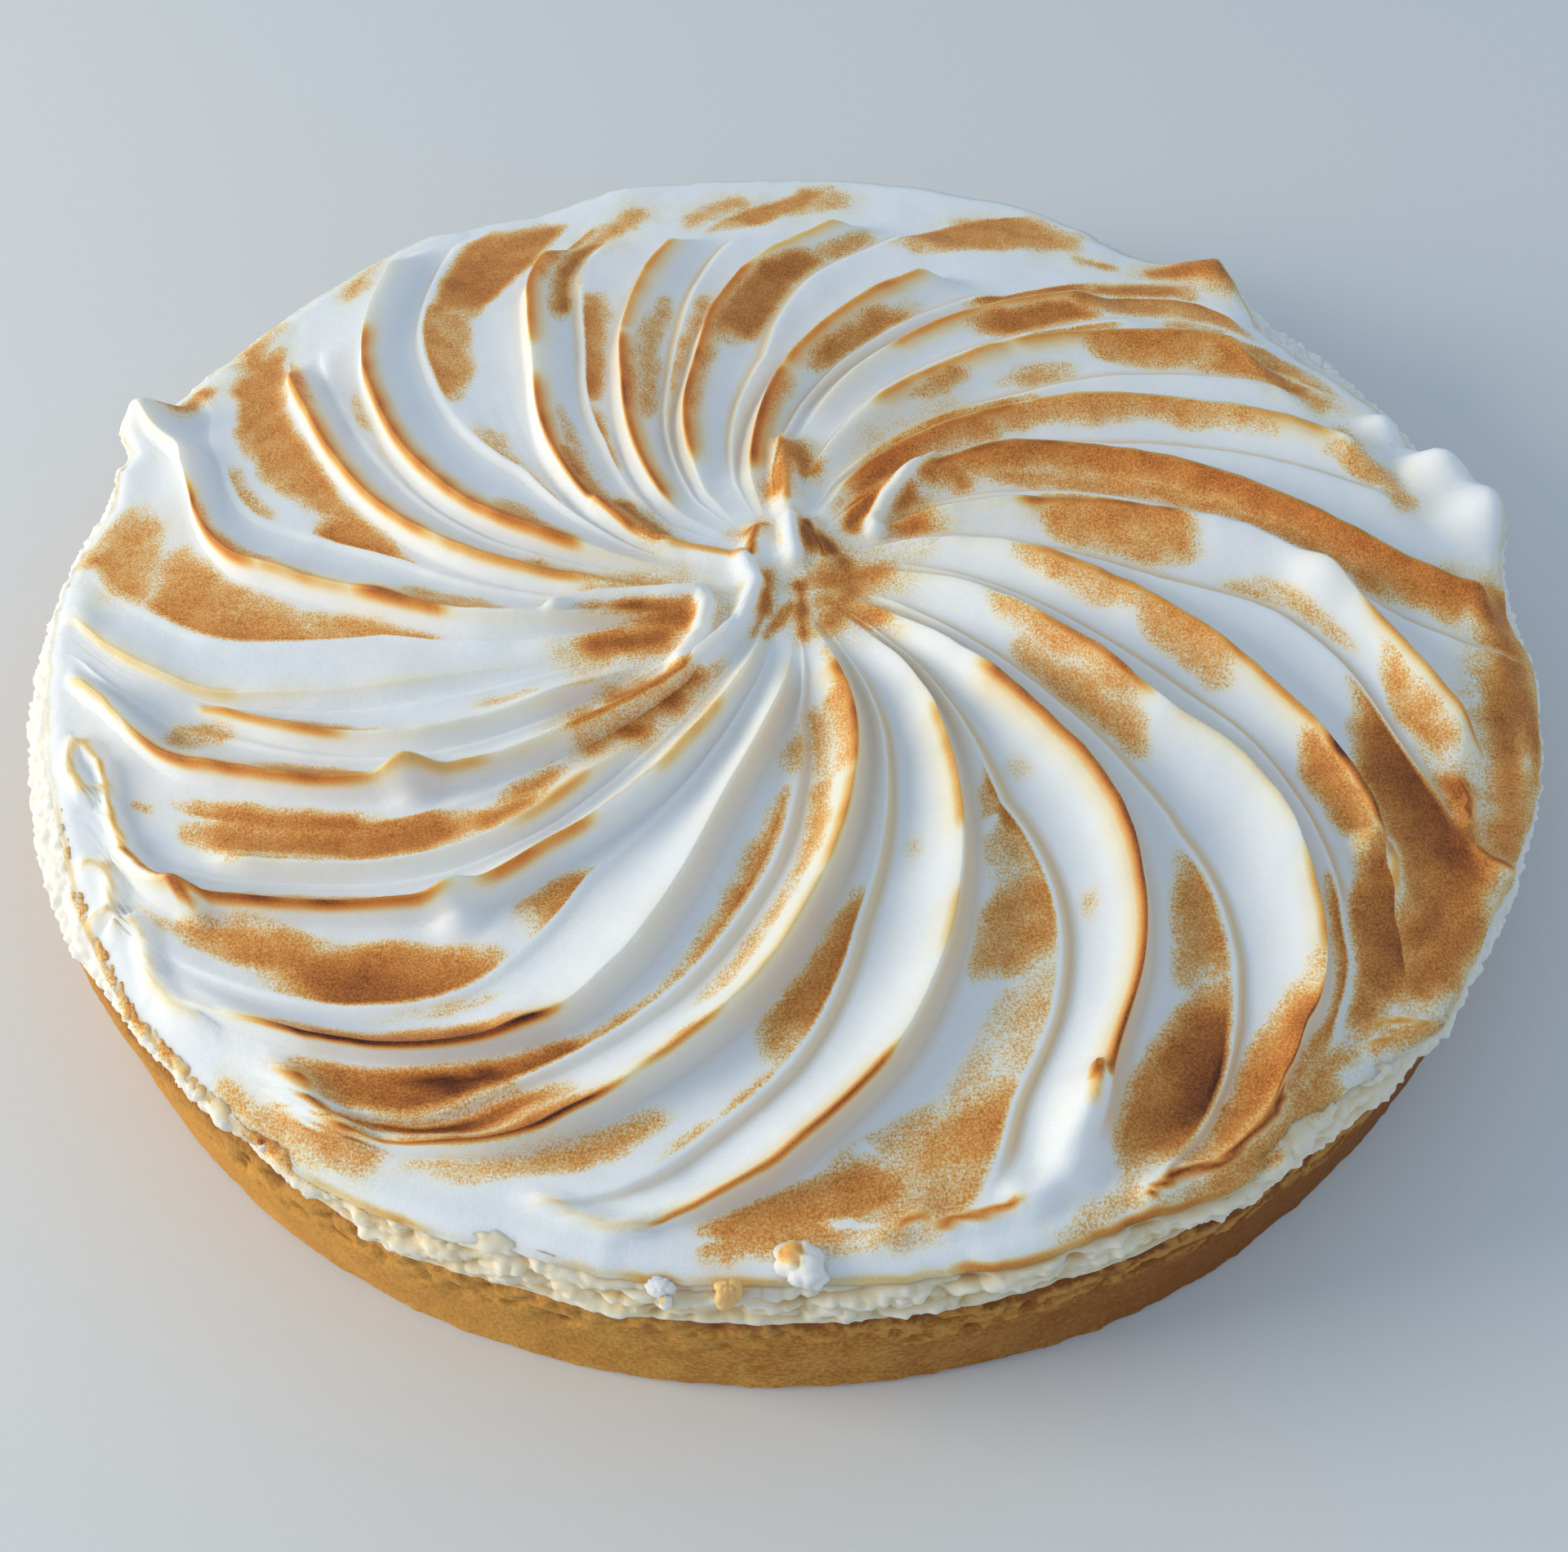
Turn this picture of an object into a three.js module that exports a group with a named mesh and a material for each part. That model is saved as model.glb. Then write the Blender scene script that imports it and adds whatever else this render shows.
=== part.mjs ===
// A round meringue tart: a straight-sided pastry case under a deep swirl of torched meringue.
// Millimetres, +Z up, origin at the middle of the underside. Bearings run anticlockwise from +X, in degrees.

import * as THREE from 'three';

const { clamp, degToRad, lerp, smoothstep } = THREE.MathUtils;

// Driving dimensions of the pastry case
const CASE_RADIUS = 120;
const CASE_HEIGHT = 24.6;
const CASE_FOOT_ROUND = 1.6;
const CASE_BRIM_ROUND = 1;
const CASE_WANDER = 0.4;
const CASE_COLUMNS = 96;
const CASE_WALL_ROWS = 5;

// Driving dimensions of the meringue's body
const BED_GAP = 0.3;
const FOOT_RADIUS = 119.6;
const RIM_RADIUS = 118;
const RIM_HEIGHT = 32;
const DOME_RISE = 4;
const WALL_CRAG = 0.8;
const WALL_ROWS = 5;

// Driving dimensions that all strokes of the palette knife share
const REFERENCE_RADIUS = 70;
const SWEEP_OUTSIDE = 0.55;
const SWEEP_INSIDE = 0.5;
const HOOK_RADIUS = 100;
const HOOK = 0.055;
const SHEAR_LIMITS = [30, 112];
const DROP_WIDTH = 2.4;
const LIP_WIDTH = 1.4;
const LIP_RISE = 1.3;
const HOLLOW = 0.3;
const FADE_INSIDE = 12;
const FADE_OUTSIDE = 8;

// Each stroke: the bearing of its crest at the reference radius, the radii it stands between, its crest's
// height, the width of the ribbon that climbs to the crest, and how its sweep leans away from the others.
const STROKES = [
  { bearing: 3, inner: 48, outer: 110, height: 5, ribbon: 12, lean: 0.05 },
  { bearing: 15, inner: 42, outer: 116, height: 5, ribbon: 10, lean: -0.05 },
  { bearing: 32, inner: 34, outer: 106, height: 4, ribbon: 10, lean: 0.02 },
  { bearing: 49.5, inner: 39, outer: 104, height: 4, ribbon: 11 },
  { bearing: 62.5, inner: 45, outer: 95, height: 2.2, ribbon: 9 },
  { bearing: 75.5, inner: 32, outer: 84, height: 4, ribbon: 10, lean: -0.04 },
  { bearing: 96.5, inner: 37, outer: 98, height: 4, ribbon: 11, lean: -0.06 },
  { bearing: 115, inner: 30, outer: 94, height: 4, ribbon: 10, lean: -0.09 },
  { bearing: 129, inner: 28, outer: 99, height: 4, ribbon: 9, lean: -0.1 },
  { bearing: 158.5, inner: 45, outer: 113, height: 4.5, ribbon: 12, lean: -0.1 },
  { bearing: 167.5, inner: 41, outer: 104, height: 3.5, ribbon: 7, lean: -0.08 },
  { bearing: 184.5, inner: 50, outer: 117, height: 4.5, ribbon: 10, lean: -0.1 },
  { bearing: 200, inner: 60, outer: 116, height: 2, ribbon: 10, lean: -0.04 },
  { bearing: 210.5, inner: 51, outer: 93, height: 3.5, ribbon: 8, lean: -0.05 },
  { bearing: 221, inner: 32, outer: 114, height: 4.5, ribbon: 8, lean: -0.05 },
  { bearing: 230, inner: 50, outer: 99, height: 2.5, ribbon: 8, lean: -0.02 },
  { bearing: 239, inner: 30, outer: 111, height: 5, ribbon: 7, lean: 0.03 },
  { bearing: 256.5, inner: 39, outer: 112, height: 4.5, ribbon: 9, lean: 0.15 },
  { bearing: 272, inner: 36, outer: 112, height: 5.5, ribbon: 9, lean: 0.04 },
  { bearing: 290, inner: 32, outer: 112, height: 5.5, ribbon: 12, lean: 0.07 },
  { bearing: 312.5, inner: 34, outer: 106, height: 6, ribbon: 12, lean: 0.1, bend: -0.005 },
  { bearing: 329, inner: 40, outer: 113, height: 5.5, ribbon: 13, lean: 0.14 },
  { bearing: 341.5, inner: 40, outer: 102, height: 5, ribbon: 11, lean: 0.07 },
];

// Bulges and recesses of the meringue's rim: bearing, half-width in degrees, outward reach and rise
const RIM_LUMPS = [
  { bearing: 9, half: 6, reach: 3.5, rise: 2.5 },
  { bearing: 31, half: 9, reach: -5, rise: 0 },
  { bearing: 45, half: 5, reach: 2, rise: 2.5 },
  { bearing: 60, half: 7, reach: -3, rise: 0.5 },
  { bearing: 115, half: 5, reach: -4.5, rise: 0 },
  { bearing: 135, half: 12, reach: 1.5, rise: 0 },
  { bearing: 150, half: 5, reach: -3, rise: 0 },
  { bearing: 160, half: 6, reach: 6.5, rise: 2 },
  { bearing: 190, half: 25, reach: -1, rise: 0 },
  { bearing: 270, half: 35, reach: 1.5, rise: 0 },
  { bearing: 352, half: 5, reach: -4, rise: 0 },
];

// Rounded dollops that stand on the swirl: bearing, radius, spread and rise
const DOLLOPS = [
  { bearing: 90, radius: 5, spread: 6, rise: 3 },
  { bearing: 50, radius: 11, spread: 4, rise: 2 },
  { bearing: 250, radius: 10, spread: 5, rise: 1.5 },
  { bearing: 355, radius: 86, spread: 7, rise: 2.5 },
  { bearing: 219, radius: 69, spread: 5, rise: 2 },
  { bearing: 294, radius: 102, spread: 5, rise: 4.5 },
  { bearing: 288, radius: 107, spread: 7, rise: 3 },
];

const RING_RADII = [8, 13, 18, 23, 28, 33, 38, 43, 48, 53, 58, 63, 68, 73, 78, 83, 88, 93, 98, 102, 106, 110, 114, 118];

// Wrap a difference of bearings into -180 to 180
function turn(bearing) {
  return THREE.MathUtils.euclideanModulo(bearing + 180, 360) - 180;
}

// How far every stroke has swung round at a radius, against the reference radius
function sweep(radius) {
  const slope = radius > REFERENCE_RADIUS ? SWEEP_OUTSIDE : SWEEP_INSIDE;
  return slope * (REFERENCE_RADIUS - radius) - HOOK * Math.max(0, radius - HOOK_RADIUS) ** 2;
}

function crestBearing({ bearing, lean = 0, bend = 0 }, radius) {
  const sheared = clamp(radius, ...SHEAR_LIMITS);
  const offset = sheared - REFERENCE_RADIUS;
  return bearing + sweep(sheared) + lean * offset + bend * offset ** 2;
}

// How much of a stroke's height stands at a radius: it fades towards the middle and towards the rim
function standing({ inner, outer }, radius) {
  const rising = smoothstep(radius, inner - FADE_INSIDE / 2, inner + FADE_INSIDE);
  return rising * (1 - smoothstep(radius, outer - FADE_OUTSIDE, outer + FADE_OUTSIDE / 4));
}

// The smooth dome that the troughs between the strokes lie on
function domeHeight(radius) {
  return RIM_HEIGHT + DOME_RISE * (1 - (radius / RIM_RADIUS) ** 2);
}

function dollopHeight(bearing, radius) {
  let height = 0;
  for (const dollop of DOLLOPS) {
    const across = degToRad(turn(bearing - dollop.bearing)) * Math.max(radius, 1);
    const distance = Math.hypot(across, radius - dollop.radius);
    height += dollop.rise * (1 - smoothstep(distance, 0, dollop.spread));
  }
  return height;
}

// Outward reach and rise of the rim's lumps at a bearing
function rimShape(bearing) {
  const shape = { reach: 0, rise: 0 };
  for (const lump of RIM_LUMPS) {
    const share = 1 - smoothstep(Math.abs(turn(bearing - lump.bearing)), 0, lump.half);
    shape.reach += lump.reach * share;
    shape.rise += lump.rise * share;
  }
  return shape;
}

// The wall's rough surface: a few waves of unlike length round the tart and down the wall
function crag(bearing, depth) {
  const angle = degToRad(bearing);
  const long = Math.sin(13 * angle + 4 * depth);
  const middle = Math.sin(29 * angle - 7 * depth + 1);
  const short = Math.sin(43 * angle + 11 * depth + 2);
  return (long + middle + short) / 3;
}

// One ring of the swirl's top. Between two crests it has five corners: the crest, the foot of its steep
// side, the low lip before the next ribbon, the ribbon's start, and a point half way up the hollow ribbon.
function swirlRing(radius) {
  const corners = [];
  STROKES.forEach((stroke, index) => {
    const next = STROKES[(index + 1) % STROKES.length];
    const start = crestBearing(stroke, radius);
    const span = THREE.MathUtils.euclideanModulo(crestBearing(next, radius) - start, 360);
    const width = degToRad(span) * radius;
    const crest = stroke.height * standing(stroke, radius);
    const climb = next.height * standing(next, radius);
    const foot = Math.min(DROP_WIDTH / width, 0.25);
    const ribbon = Math.max(1 - next.ribbon / width, 0.42);
    const lip = ribbon - Math.min(LIP_WIDTH / width, 0.1);
    const lipRise = LIP_RISE * Math.min(1, climb / 3);
    corners.push({ bearing: start, height: crest });
    corners.push({ bearing: start + foot * span, height: 0 });
    corners.push({ bearing: start + lip * span, height: lipRise });
    corners.push({ bearing: start + ribbon * span, height: lipRise / 2 });
    corners.push({ bearing: start + lerp(ribbon, 1, 0.55) * span, height: HOLLOW * climb });
  });
  return corners;
}

const SWIRL_RINGS = RING_RADII.map(swirlRing);
const SWIRL_COLUMNS = SWIRL_RINGS[0].length;

// A corner of the swirl's top, pushed out near the rim by the rim's lumps
function topPoint(column, ring) {
  const radius = RING_RADII[ring];
  const { bearing, height } = SWIRL_RINGS[ring][column];
  const rim = rimShape(bearing);
  const push = smoothstep(radius, 0.8 * RIM_RADIUS, RIM_RADIUS);
  const out = radius + push * rim.reach;
  const up = domeHeight(radius) + height + push * rim.rise + dollopHeight(bearing, radius);
  return polar(bearing, out, up);
}

// A corner of the meringue's wall, from its foot on the pastry up to just under the rim
function wallPoint(column, row) {
  const { bearing } = SWIRL_RINGS.at(-1)[column];
  const depth = row / WALL_ROWS;
  const rim = rimShape(bearing);
  const top = domeHeight(RIM_RADIUS) + rim.rise;
  const bulge = lerp(FOOT_RADIUS, RIM_RADIUS + 0.6, depth) + rim.reach * depth ** 2;
  const rough = row === 0 ? 0 : WALL_CRAG * crag(bearing, depth);
  return polar(bearing, bulge + rough, lerp(CASE_HEIGHT + BED_GAP, top, depth));
}

function polar(bearing, radius, height) {
  const angle = degToRad(bearing);
  return new THREE.Vector3(radius * Math.cos(angle), radius * Math.sin(angle), height);
}

// Turn a profile into a closed body of revolution, then put each of its points where place says.
// Points on the axis stay on it.
function shapedRevolution(profile, columns, place) {
  const geometry = new THREE.LatheGeometry(profile, columns);
  const position = geometry.attributes.position;
  for (let column = 0; column <= columns; column += 1) {
    profile.forEach((point, row) => {
      const corner = place(column % columns, row, point);
      position.setXYZ(column * profile.length + row, corner.x, corner.y, corner.z);
    });
  }
  geometry.computeVertexNormals();
  return geometry;
}

function meringueGeometry() {
  const foot = CASE_HEIGHT + BED_GAP;
  const profile = [new THREE.Vector2(0, foot)];
  for (let row = 0; row < WALL_ROWS; row += 1) {
    profile.push(new THREE.Vector2(FOOT_RADIUS, lerp(foot, RIM_HEIGHT, row / WALL_ROWS)));
  }
  const outwards = RING_RADII.toReversed();
  for (const radius of outwards) {
    profile.push(new THREE.Vector2(radius, domeHeight(radius)));
  }
  const peak = domeHeight(0) + dollopHeight(0, 0);
  profile.push(new THREE.Vector2(0, peak));
  return shapedRevolution(profile, SWIRL_COLUMNS, (column, row, point) => {
    if (point.x === 0) {
      return new THREE.Vector3(0, 0, point.y);
    }
    if (row <= WALL_ROWS) {
      return wallPoint(column, row - 1);
    }
    return topPoint(column, RING_RADII.length - (row - WALL_ROWS));
  });
}

// The pastry case's outline: a flat foot, an upright wall and a flat brim, with rounded corners
function caseProfile() {
  const outline = new THREE.Path();
  outline.moveTo(0, 0);
  outline.lineTo(CASE_RADIUS - CASE_FOOT_ROUND, 0);
  outline.absarc(CASE_RADIUS - CASE_FOOT_ROUND, CASE_FOOT_ROUND, CASE_FOOT_ROUND, -Math.PI / 2, 0);
  const wallBottom = CASE_FOOT_ROUND;
  const wallTop = CASE_HEIGHT - CASE_BRIM_ROUND;
  for (let row = 1; row <= CASE_WALL_ROWS; row += 1) {
    outline.lineTo(CASE_RADIUS, lerp(wallBottom, wallTop, row / CASE_WALL_ROWS));
  }
  outline.lineTo(CASE_RADIUS - CASE_BRIM_ROUND, CASE_HEIGHT);
  outline.lineTo(0, CASE_HEIGHT);
  return outline.getPoints(3);
}

// The baked wall wanders a little in and out, but not where it stands on the table
function caseGeometry() {
  return shapedRevolution(caseProfile(), CASE_COLUMNS, (column, row, point) => {
    const bearing = (360 / CASE_COLUMNS) * column;
    const depth = point.y / CASE_HEIGHT;
    const wander = CASE_WANDER * crag(bearing, depth) * smoothstep(point.y, 0, CASE_HEIGHT / 3);
    return polar(bearing, point.x > 0 ? point.x + wander : 0, point.y);
  });
}

function piece(name, geometry, look) {
  const mesh = new THREE.Mesh(geometry, new THREE.MeshStandardMaterial(look));
  mesh.name = name;
  return mesh;
}

const tart = new THREE.Group();
tart.name = 'meringue_tart';
tart.add(piece('pastry_case', caseGeometry(), { color: 0xb98045, roughness: 0.85, metalness: 0 }));
tart.add(piece('meringue', meringueGeometry(), { color: 0xf1ede4, roughness: 0.6, metalness: 0 }));

export default tart;
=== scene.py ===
# %% [markdown]
# # A torched meringue tart
#
# The real tart is a shallow pastry case, filled to its brim and covered to its edge with meringue. The
# cook drew a palette knife from the rim to the middle again and again, so the meringue stands in curved
# ribbons, and then browned it with a torch. This lesson makes its skin, the baked wall under it, the loose
# bits on it and their finishes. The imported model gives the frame: its places and sizes stay as they are,
# and only the surface gets finer.

import itertools
import math
from dataclasses import dataclass

import bpy
import numpy as np
from mathutils import Matrix, Vector


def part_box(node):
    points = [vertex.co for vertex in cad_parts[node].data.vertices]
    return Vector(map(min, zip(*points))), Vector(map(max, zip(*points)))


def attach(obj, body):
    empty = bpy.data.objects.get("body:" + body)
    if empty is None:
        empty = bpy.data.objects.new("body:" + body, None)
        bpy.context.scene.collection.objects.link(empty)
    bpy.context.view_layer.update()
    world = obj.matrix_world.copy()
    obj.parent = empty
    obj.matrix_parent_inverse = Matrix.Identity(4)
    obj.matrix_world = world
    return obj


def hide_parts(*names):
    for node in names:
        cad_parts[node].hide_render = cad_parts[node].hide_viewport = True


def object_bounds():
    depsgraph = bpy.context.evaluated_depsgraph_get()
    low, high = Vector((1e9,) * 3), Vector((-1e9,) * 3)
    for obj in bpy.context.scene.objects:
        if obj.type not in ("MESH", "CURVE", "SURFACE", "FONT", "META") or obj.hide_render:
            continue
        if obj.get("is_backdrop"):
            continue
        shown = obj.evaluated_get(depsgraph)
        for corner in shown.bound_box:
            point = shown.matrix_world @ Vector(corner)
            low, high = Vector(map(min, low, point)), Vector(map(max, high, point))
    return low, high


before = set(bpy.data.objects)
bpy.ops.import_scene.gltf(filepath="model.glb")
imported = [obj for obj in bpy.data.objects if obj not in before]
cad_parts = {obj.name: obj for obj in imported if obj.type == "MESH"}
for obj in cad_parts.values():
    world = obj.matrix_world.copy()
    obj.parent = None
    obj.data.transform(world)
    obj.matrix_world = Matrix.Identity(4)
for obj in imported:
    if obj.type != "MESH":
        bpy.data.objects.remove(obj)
cad_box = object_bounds()
MM = 0.001
case_low, case_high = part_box("pastry_case")
CASE_RADIUS = (case_high.x - case_low.x) / 2 / MM
CASE_HEIGHT = case_high.z / MM
BED_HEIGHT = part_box("meringue")[0].z / MM
print(f"case {2 * CASE_RADIUS:.1f} mm wide, {CASE_HEIGHT:.1f} mm high, meringue from {BED_HEIGHT:.1f} mm up")

# %% [markdown]
# ## The camera
#
# The circles of the case's foot and brim look like two ellipses in the photograph, and only one height,
# pitch and lens draws both where they are. Those values are fixed here. The frame is 1920 pixels wide and
# a little less high, so the sensor's width is its long side.

# %% Set the camera
CAMERA_PLACE = Vector((0.0002, -0.1902, 0.2215))
CAMERA_PITCH = math.radians(51.8)
CAMERA_ROLL = math.radians(-1.01)
CAMERA_LENS = 37.5
SENSOR_WIDTH = 36

camera = bpy.data.objects.new("camera", bpy.data.cameras.new("camera"))
bpy.context.scene.collection.objects.link(camera)
camera.data.lens = CAMERA_LENS
camera.data.sensor_width = SENSOR_WIDTH
camera.data.clip_start = 0.01
tilt = Matrix.Rotation(math.pi / 2 - CAMERA_PITCH, 4, "X")
camera.matrix_world = Matrix.Translation(CAMERA_PLACE) @ tilt @ Matrix.Rotation(CAMERA_ROLL, 4, "Z")
bpy.context.scene.camera = camera
print(f"camera {CAMERA_PLACE.length:.3f} m from the tart's foot")

# %% [markdown]
# ## Soft light
#
# Relief this low only shows if the light comes from the side. A warm window stands low at the left and
# meets the ribbons, a weak lamp at the right keeps the steep sides creamy, and a pale blue sky fills the
# hollows.

# %% Set the lights
VIEW_TRANSFORM = "Standard"
SKY_COLOUR = (0.63, 0.8, 1.0, 1)
SKY_STRENGTH = 0.65
AIM = Vector((0, 0, 0.03))


def soft_light(name, azimuth, elevation, distance, size, power, colour):
    """A square area light that faces the tart from a bearing and a height, both in degrees."""
    lamp = bpy.data.lights.new(name, "AREA")
    lamp.shape = "SQUARE"
    lamp.size = size
    lamp.energy = power
    lamp.color = colour
    turn, rise = math.radians(azimuth), math.radians(elevation)
    away = Vector((math.cos(turn) * math.cos(rise), math.sin(turn) * math.cos(rise), math.sin(rise)))
    light = bpy.data.objects.new(name, lamp)
    light.location = AIM + away * distance
    light.rotation_euler = away.to_track_quat("Z", "Y").to_euler()
    bpy.context.scene.collection.objects.link(light)


soft_light("window", azimuth=186, elevation=20, distance=1.1, size=0.5, power=9.4, colour=(1.0, 0.92, 0.75))
soft_light("lamp", azimuth=340, elevation=45, distance=1.3, size=0.9, power=0.4, colour=(1.0, 0.85, 0.6))

sky = bpy.data.worlds.new("sky")
sky.use_nodes = True
sky.node_tree.nodes["Background"].inputs["Color"].default_value = SKY_COLOUR
sky.node_tree.nodes["Background"].inputs["Strength"].default_value = SKY_STRENGTH
bpy.context.scene.world = sky
bpy.context.scene.view_settings.view_transform = VIEW_TRANSFORM

# %% [markdown]
# ## Shader sums as Python
#
# A finish is a sum of masks, and a node tree is hard to read as text. So one small class holds an output
# socket and lends it Python's operators: `1 - mask * 0.5` adds the Math nodes it needs. Every other node
# comes from `make`.


# %% A socket that can be added and multiplied
class Wire:
    """An output socket of a finish's node tree."""

    def __init__(self, tree, socket=None):
        self.tree = tree
        self.socket = socket

    def make(self, kind, settings=None, inputs=None, out=0):
        """Add a node from its settings and its sockets' values or wires, and give one of its outputs."""
        node = self.tree.nodes.new(kind)
        for name, value in (settings or {}).items():
            if name == "stops":
                for place, _ in value[2:]:
                    node.color_ramp.elements.new(place)
                for element, (place, colour) in zip(node.color_ramp.elements, value):
                    element.position = place
                    element.color = (*colour, 1)
            else:
                setattr(node, name, value)
        self.plug(node, inputs or {})
        return Wire(self.tree, node.outputs[out])

    def plug(self, node, inputs):
        """Give sockets of a node their values or wires."""
        for key, value in inputs.items():
            if isinstance(value, Wire):
                self.tree.links.new(value.socket, node.inputs[key])
            else:
                node.inputs[key].default_value = value

    def maths(self, operation, *values):
        return self.make("ShaderNodeMath", {"operation": operation}, dict(enumerate(values)))

    def __add__(self, other):
        return self.maths("ADD", self, other)

    def __sub__(self, other):
        return self.maths("SUBTRACT", self, other)

    def __rsub__(self, other):
        return self.maths("SUBTRACT", other, self)

    def __mul__(self, other):
        return self.maths("MULTIPLY", self, other)

    __radd__ = __add__
    __rmul__ = __mul__

    def between(self, low, high):
        """A mask that climbs smoothly from 0 at low to 1 at high."""
        limits = {"Value": self, "From Min": low, "From Max": high}
        return self.make("ShaderNodeMapRange", {"interpolation_type": "SMOOTHSTEP"}, limits)

    def tint(self, pale, dark):
        """A colour between pale, where this mask is 0, and dark, where it is 1."""
        return self.make("ShaderNodeMix", {"data_type": "RGBA"}, {0: self, 6: pale, 7: dark}, out=2)

    def bump(self, strength, depth):
        """The normals of a surface that this wire lifts by up to depth millimetres."""
        inputs = {"Strength": strength, "Distance": depth * MM, "Height": self}
        return self.make("ShaderNodeBump", None, inputs, out="Normal")


def new_finish(name):
    """A material with its tree's first wire and its surface shader."""
    material = bpy.data.materials.new(name)
    material.use_nodes = True
    shader = material.node_tree.nodes["Principled BSDF"]
    return material, Wire(material.node_tree), shader


def speckle(tree, place, grain, detail=2):
    """Noise from 0 to 1 with bumps about grain millimetres across."""
    inputs = {"Vector": place, "Scale": 1 / (grain * MM), "Detail": detail}
    return tree.make("ShaderNodeTexNoise", None, inputs)


print("shader sums ready")

# %% [markdown]
# ## Smooth steps and seeded noise
#
# Food is uneven everywhere, and the same uneven tart has to come out of each run. Noise is worked out here
# from a seeded table of random numbers at the corners of a grid, so nothing depends on the clock.


# %% Steps and noise on arrays
NOISE_SEED = 7
NOISE_COUNT = 8191
NOISE_TABLE = np.random.default_rng(NOISE_SEED).uniform(-1, 1, NOISE_COUNT)
NOISE_STRIDES = (1, 157, 2689)
SEED_SHIFT = 31.7


def smooth(value, low, high):
    """0 below low, 1 above high and an even curve between them."""
    share = np.clip((value - low) / (high - low), 0, 1)
    return share * share * (3 - 2 * share)


def lerp(low, high, share):
    return low + (high - low) * share


def noise(points, size, seed=0):
    """Smooth noise from -1 to 1 at points (..., 3) in millimetres, with bumps about size across."""
    scaled = np.asarray(points) / size + SEED_SHIFT * seed
    cell = np.floor(scaled).astype(np.int64)
    share = smooth(scaled - cell, 0, 1)
    total = 0
    for corner in itertools.product((0, 1), repeat=3):
        index = sum((cell[..., axis] + corner[axis]) * NOISE_STRIDES[axis] for axis in range(3))
        weight = np.prod(np.where(corner, share, 1 - share), axis=-1)
        total = total + weight * NOISE_TABLE[index % NOISE_COUNT]
    return total


def facing(bearing, side, low, high):
    """1 near the side at a bearing and 0 away from it. The limits are cosines of the angle between them."""
    return smooth(np.cos(np.radians(bearing - side)), low, high)


def polar(bearing, radius, height):
    angle = np.radians(bearing)
    return np.stack(np.broadcast_arrays(radius * np.cos(angle), radius * np.sin(angle), height), axis=-1)


print(f"noise over {NOISE_COUNT} seeded numbers")

# %% [markdown]
# ## The strokes of the palette knife
#
# Every stroke starts near the rim, swings inwards and leaves a ribbon that climbs gently to a sharp crest
# and then drops steeply. A crest is written down as its bearings at a few fixed radii, read off the
# photograph, and a smooth curve joins them. Beside it stand the radii it begins and ends at, its height,
# the ribbon's width near the middle and near the rim, the stretches of the crest that the torch burnt and,
# on a few, the radius and rise of a raised tip.


# %% List the strokes
CREST_RADII = (20, 35, 50, 65, 80, 90, 100, 107, 114)
RIBBON_RADII = (60, 105)
# the place in a path whose bearing stands for the whole stroke
MIDWAY = 4


@dataclass
class Stroke:
    path: tuple
    inner: float
    outer: float
    height: float
    ribbon: tuple
    burnt: tuple = ()
    tip: tuple = (0, 0)


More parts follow.
